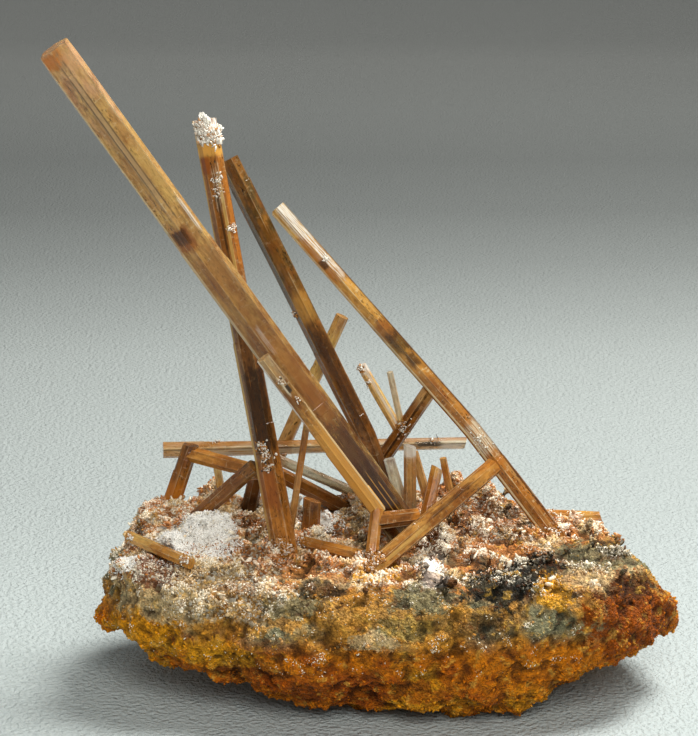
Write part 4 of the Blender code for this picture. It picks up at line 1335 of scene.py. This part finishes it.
for name, branches in CRYSTALS.items():
    made = []
    for number, branch in enumerate(branches):
        look = branch.pop("look", name)
        line = branch["line"]
        length = sum((seen(*b) - seen(*a)).length for a, b in zip(line, line[1:]))
        made.append(grow(f"{name}_{number}", **branch))
        made[-1].data.materials.append(crystal_finish(look, length))
    only(made[0])
    for other in made[1:]:
        other.select_set(True)
    if len(made) > 1:
        bpy.ops.object.join()
    piece = newest(f"{name}_grown")
    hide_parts(name)
    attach(piece, "root")
    GROWN[name] = piece
print("crystals:", len(GROWN))

# %% [markdown]
# ## Splinters, burrs and glitter on the prisms
#
# The steep crystal ends in a silvery crown of splinters, and small burrs of grains sit on several prisms.
# A sight line finds the face of the crystal that the picture shows at a burr, and copies of the same small
# blades are set there, leaning along the crystal or away from its face.


# %% Tufts on a crystal
TUFT_SUNK = 0.25


def tuft(name, host, places, count, lengths, widths, lean, spread, tones, seed, shape=SUGAR_GRAIN):
    """Small blades set on a crystal round places of the picture: column, row and reach, in pixels."""
    chance = np.random.default_rng(seed)
    faces = tree_of(GROWN[host])
    line = CRYSTALS[host][0]["line"]
    run = (seen(*line[-1]) - seen(*line[0])).normalized()
    feet, outward = [], []
    while len(feet) < count:
        column, row, reach = places[len(feet) % len(places)]
        off = chance.normal(size=2) * reach * 0.5
        hit = faces.ray_cast(EYE * MM, sight(column + off[0], row + off[1]))
        if hit[0] is None:
            hit = faces.find_nearest(at_depth(column, row, seen(*line[-1]).y) * MM)
        feet.append(tuple(hit[0]))
        outward.append(tuple(hit[1] + run * lean))
    outward = np.array(outward)
    directions = leaning(outward / np.linalg.norm(outward, axis=1, keepdims=True), spread, chance)
    size = chance.uniform(size=count) ** 1.5
    long = (lengths[0] + (lengths[1] - lengths[0]) * size) * MM
    wide = chance.uniform(*widths, count) * MM
    tone = chance.uniform(*tones, count)
    feet = np.array(feet) - directions * long[:, None] * TUFT_SUNK
    piece = strew(name, shape, feet, directions, long, wide, tone, chance)
    piece.data.materials.append(splinter_finish)
    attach(piece, "root")
    return piece


splinter_finish, tree, shader = finish("bright_splinters", 0.12)
tone = attribute(tree, "tone")
colour = blend(tree, ramp(tree, tone, 0.0, 0.35), linear(34, 26, 16), linear(190, 128, 52))
feed(tree, shader.inputs["Base Color"], blend(tree, ramp(tree, tone, 0.4, 0.65), colour, linear(254, 250, 238)))
let_light_in(shader, 0.15)

# Name, host, places, count, lengths, widths, lean, spread, tones and seed, then the shape if it isn't a grain.
TUFTS = (
    ("crown_splinters", "steep_crystal",
     ((203, 128, 7), (208, 136, 9), (217, 134, 7), (222, 130, 5), (222, 139, 5)),
     520, (0.6, 2.2), (0.5, 1.2), 1.6, 0.45, (0.42, 1.0), 41),
    ("crown_spike", "steep_crystal", ((202, 120, 3), (205, 122, 4)),
     60, (1.2, 2.9), (0.4, 0.8), 6.0, 0.2, (0.6, 1.0), 42),
    ("steep_glitter", "steep_crystal", ((217, 180, 6), (217, 192, 6), (233, 228, 5)),
     110, (0.3, 1.0), (0.3, 0.7), 0.6, 0.6, (0.35, 1.0), 43),
    # Painted glints: the knot's pale grains stand in for glints on the dark knot.
    ("steep_knot", "steep_crystal", ((262, 446, 5), (265, 457, 6), (268, 468, 4)),
     190, (0.3, 1.1), (0.4, 0.9), 0.2, 0.9, (0.0, 0.75), 44),
    ("steep_foot", "steep_crystal", ((287, 549, 7), (280, 542, 5)),
     260, (0.4, 1.4), (0.4, 1.1), 0.0, 0.8, (0.2, 0.6), 50),
    ("prop_foot", "prop_crystal", ((369, 566, 6), (379, 559, 6)),
     240, (0.4, 1.3), (0.4, 1.0), 0.0, 0.8, (0.15, 0.6), 51),
    ("front_foot_grains", "front_crystal", ((371, 554, 4),),
     90, (0.4, 1.2), (0.4, 1.0), 0.0, 0.8, (0.15, 0.6), 52),
    ("lying_left_grains", "lying_left_crystal", ((184, 560, 4), (130, 537, 3)),
     100, (0.3, 1.1), (0.4, 0.9), 0.0, 0.8, (0.3, 0.9), 53),
    ("lying_front_grains", "lying_front_crystal", ((358, 556, 5), (301, 542, 5)),
     140, (0.3, 1.1), (0.4, 0.9), 0.0, 0.8, (0.2, 0.7), 54),
    ("lying_right_grains", "lying_right_crystal", ((548, 516, 6),),
     70, (0.3, 1.1), (0.4, 0.9), 0.0, 0.8, (0.2, 0.8), 55),
    ("right_foot_grains", "right_long_crystal", ((553, 533, 6),),
     110, (0.3, 1.2), (0.4, 0.9), 0.0, 0.8, (0.2, 0.8), 56),
    ("kinked_burr", "kinked_crystal", ((294, 315, 4),),
     40, (0.4, 1.2), (0.3, 0.7), 0.0, 0.6, (0.1, 0.6), 45),
    ("fork_burrs", "forked_back_crystal", ((404, 428, 9), (365, 388, 4), (359, 368, 5)),
     170, (0.4, 1.4), (0.3, 0.8), 0.4, 0.7, (0.2, 0.9), 46),
    ("cross_spike", "cross_crystal", ((216, 441, 3), (432, 440, 6)),
     60, (0.5, 1.6), (0.25, 0.6), 0.0, 0.5, (0.0, 0.9), 47, NEEDLE),
    ("right_glitter", "right_long_crystal", ((480, 441, 10), (325, 258, 3)),
     80, (0.3, 0.8), (0.25, 0.6), 0.8, 0.5, (0.5, 1.0), 48),
    ("front_patch", "front_crystal", ((280, 381, 4), (298, 400, 4)),
     40, (0.3, 0.8), (0.3, 0.6), 0.8, 0.5, (0.0, 1.0), 49),
)  # fmt: skip
made = [tuft(*row) for row in TUFTS]
print("tufts:", len(made))

# %% [markdown]
# ## The end
#
# The stone, the crust and the prisms were held inside the box of the CAD model as they were made, and the view
# layer is brought up to date.

# %% Write the sizes and finish
bpy.context.view_layer.update()
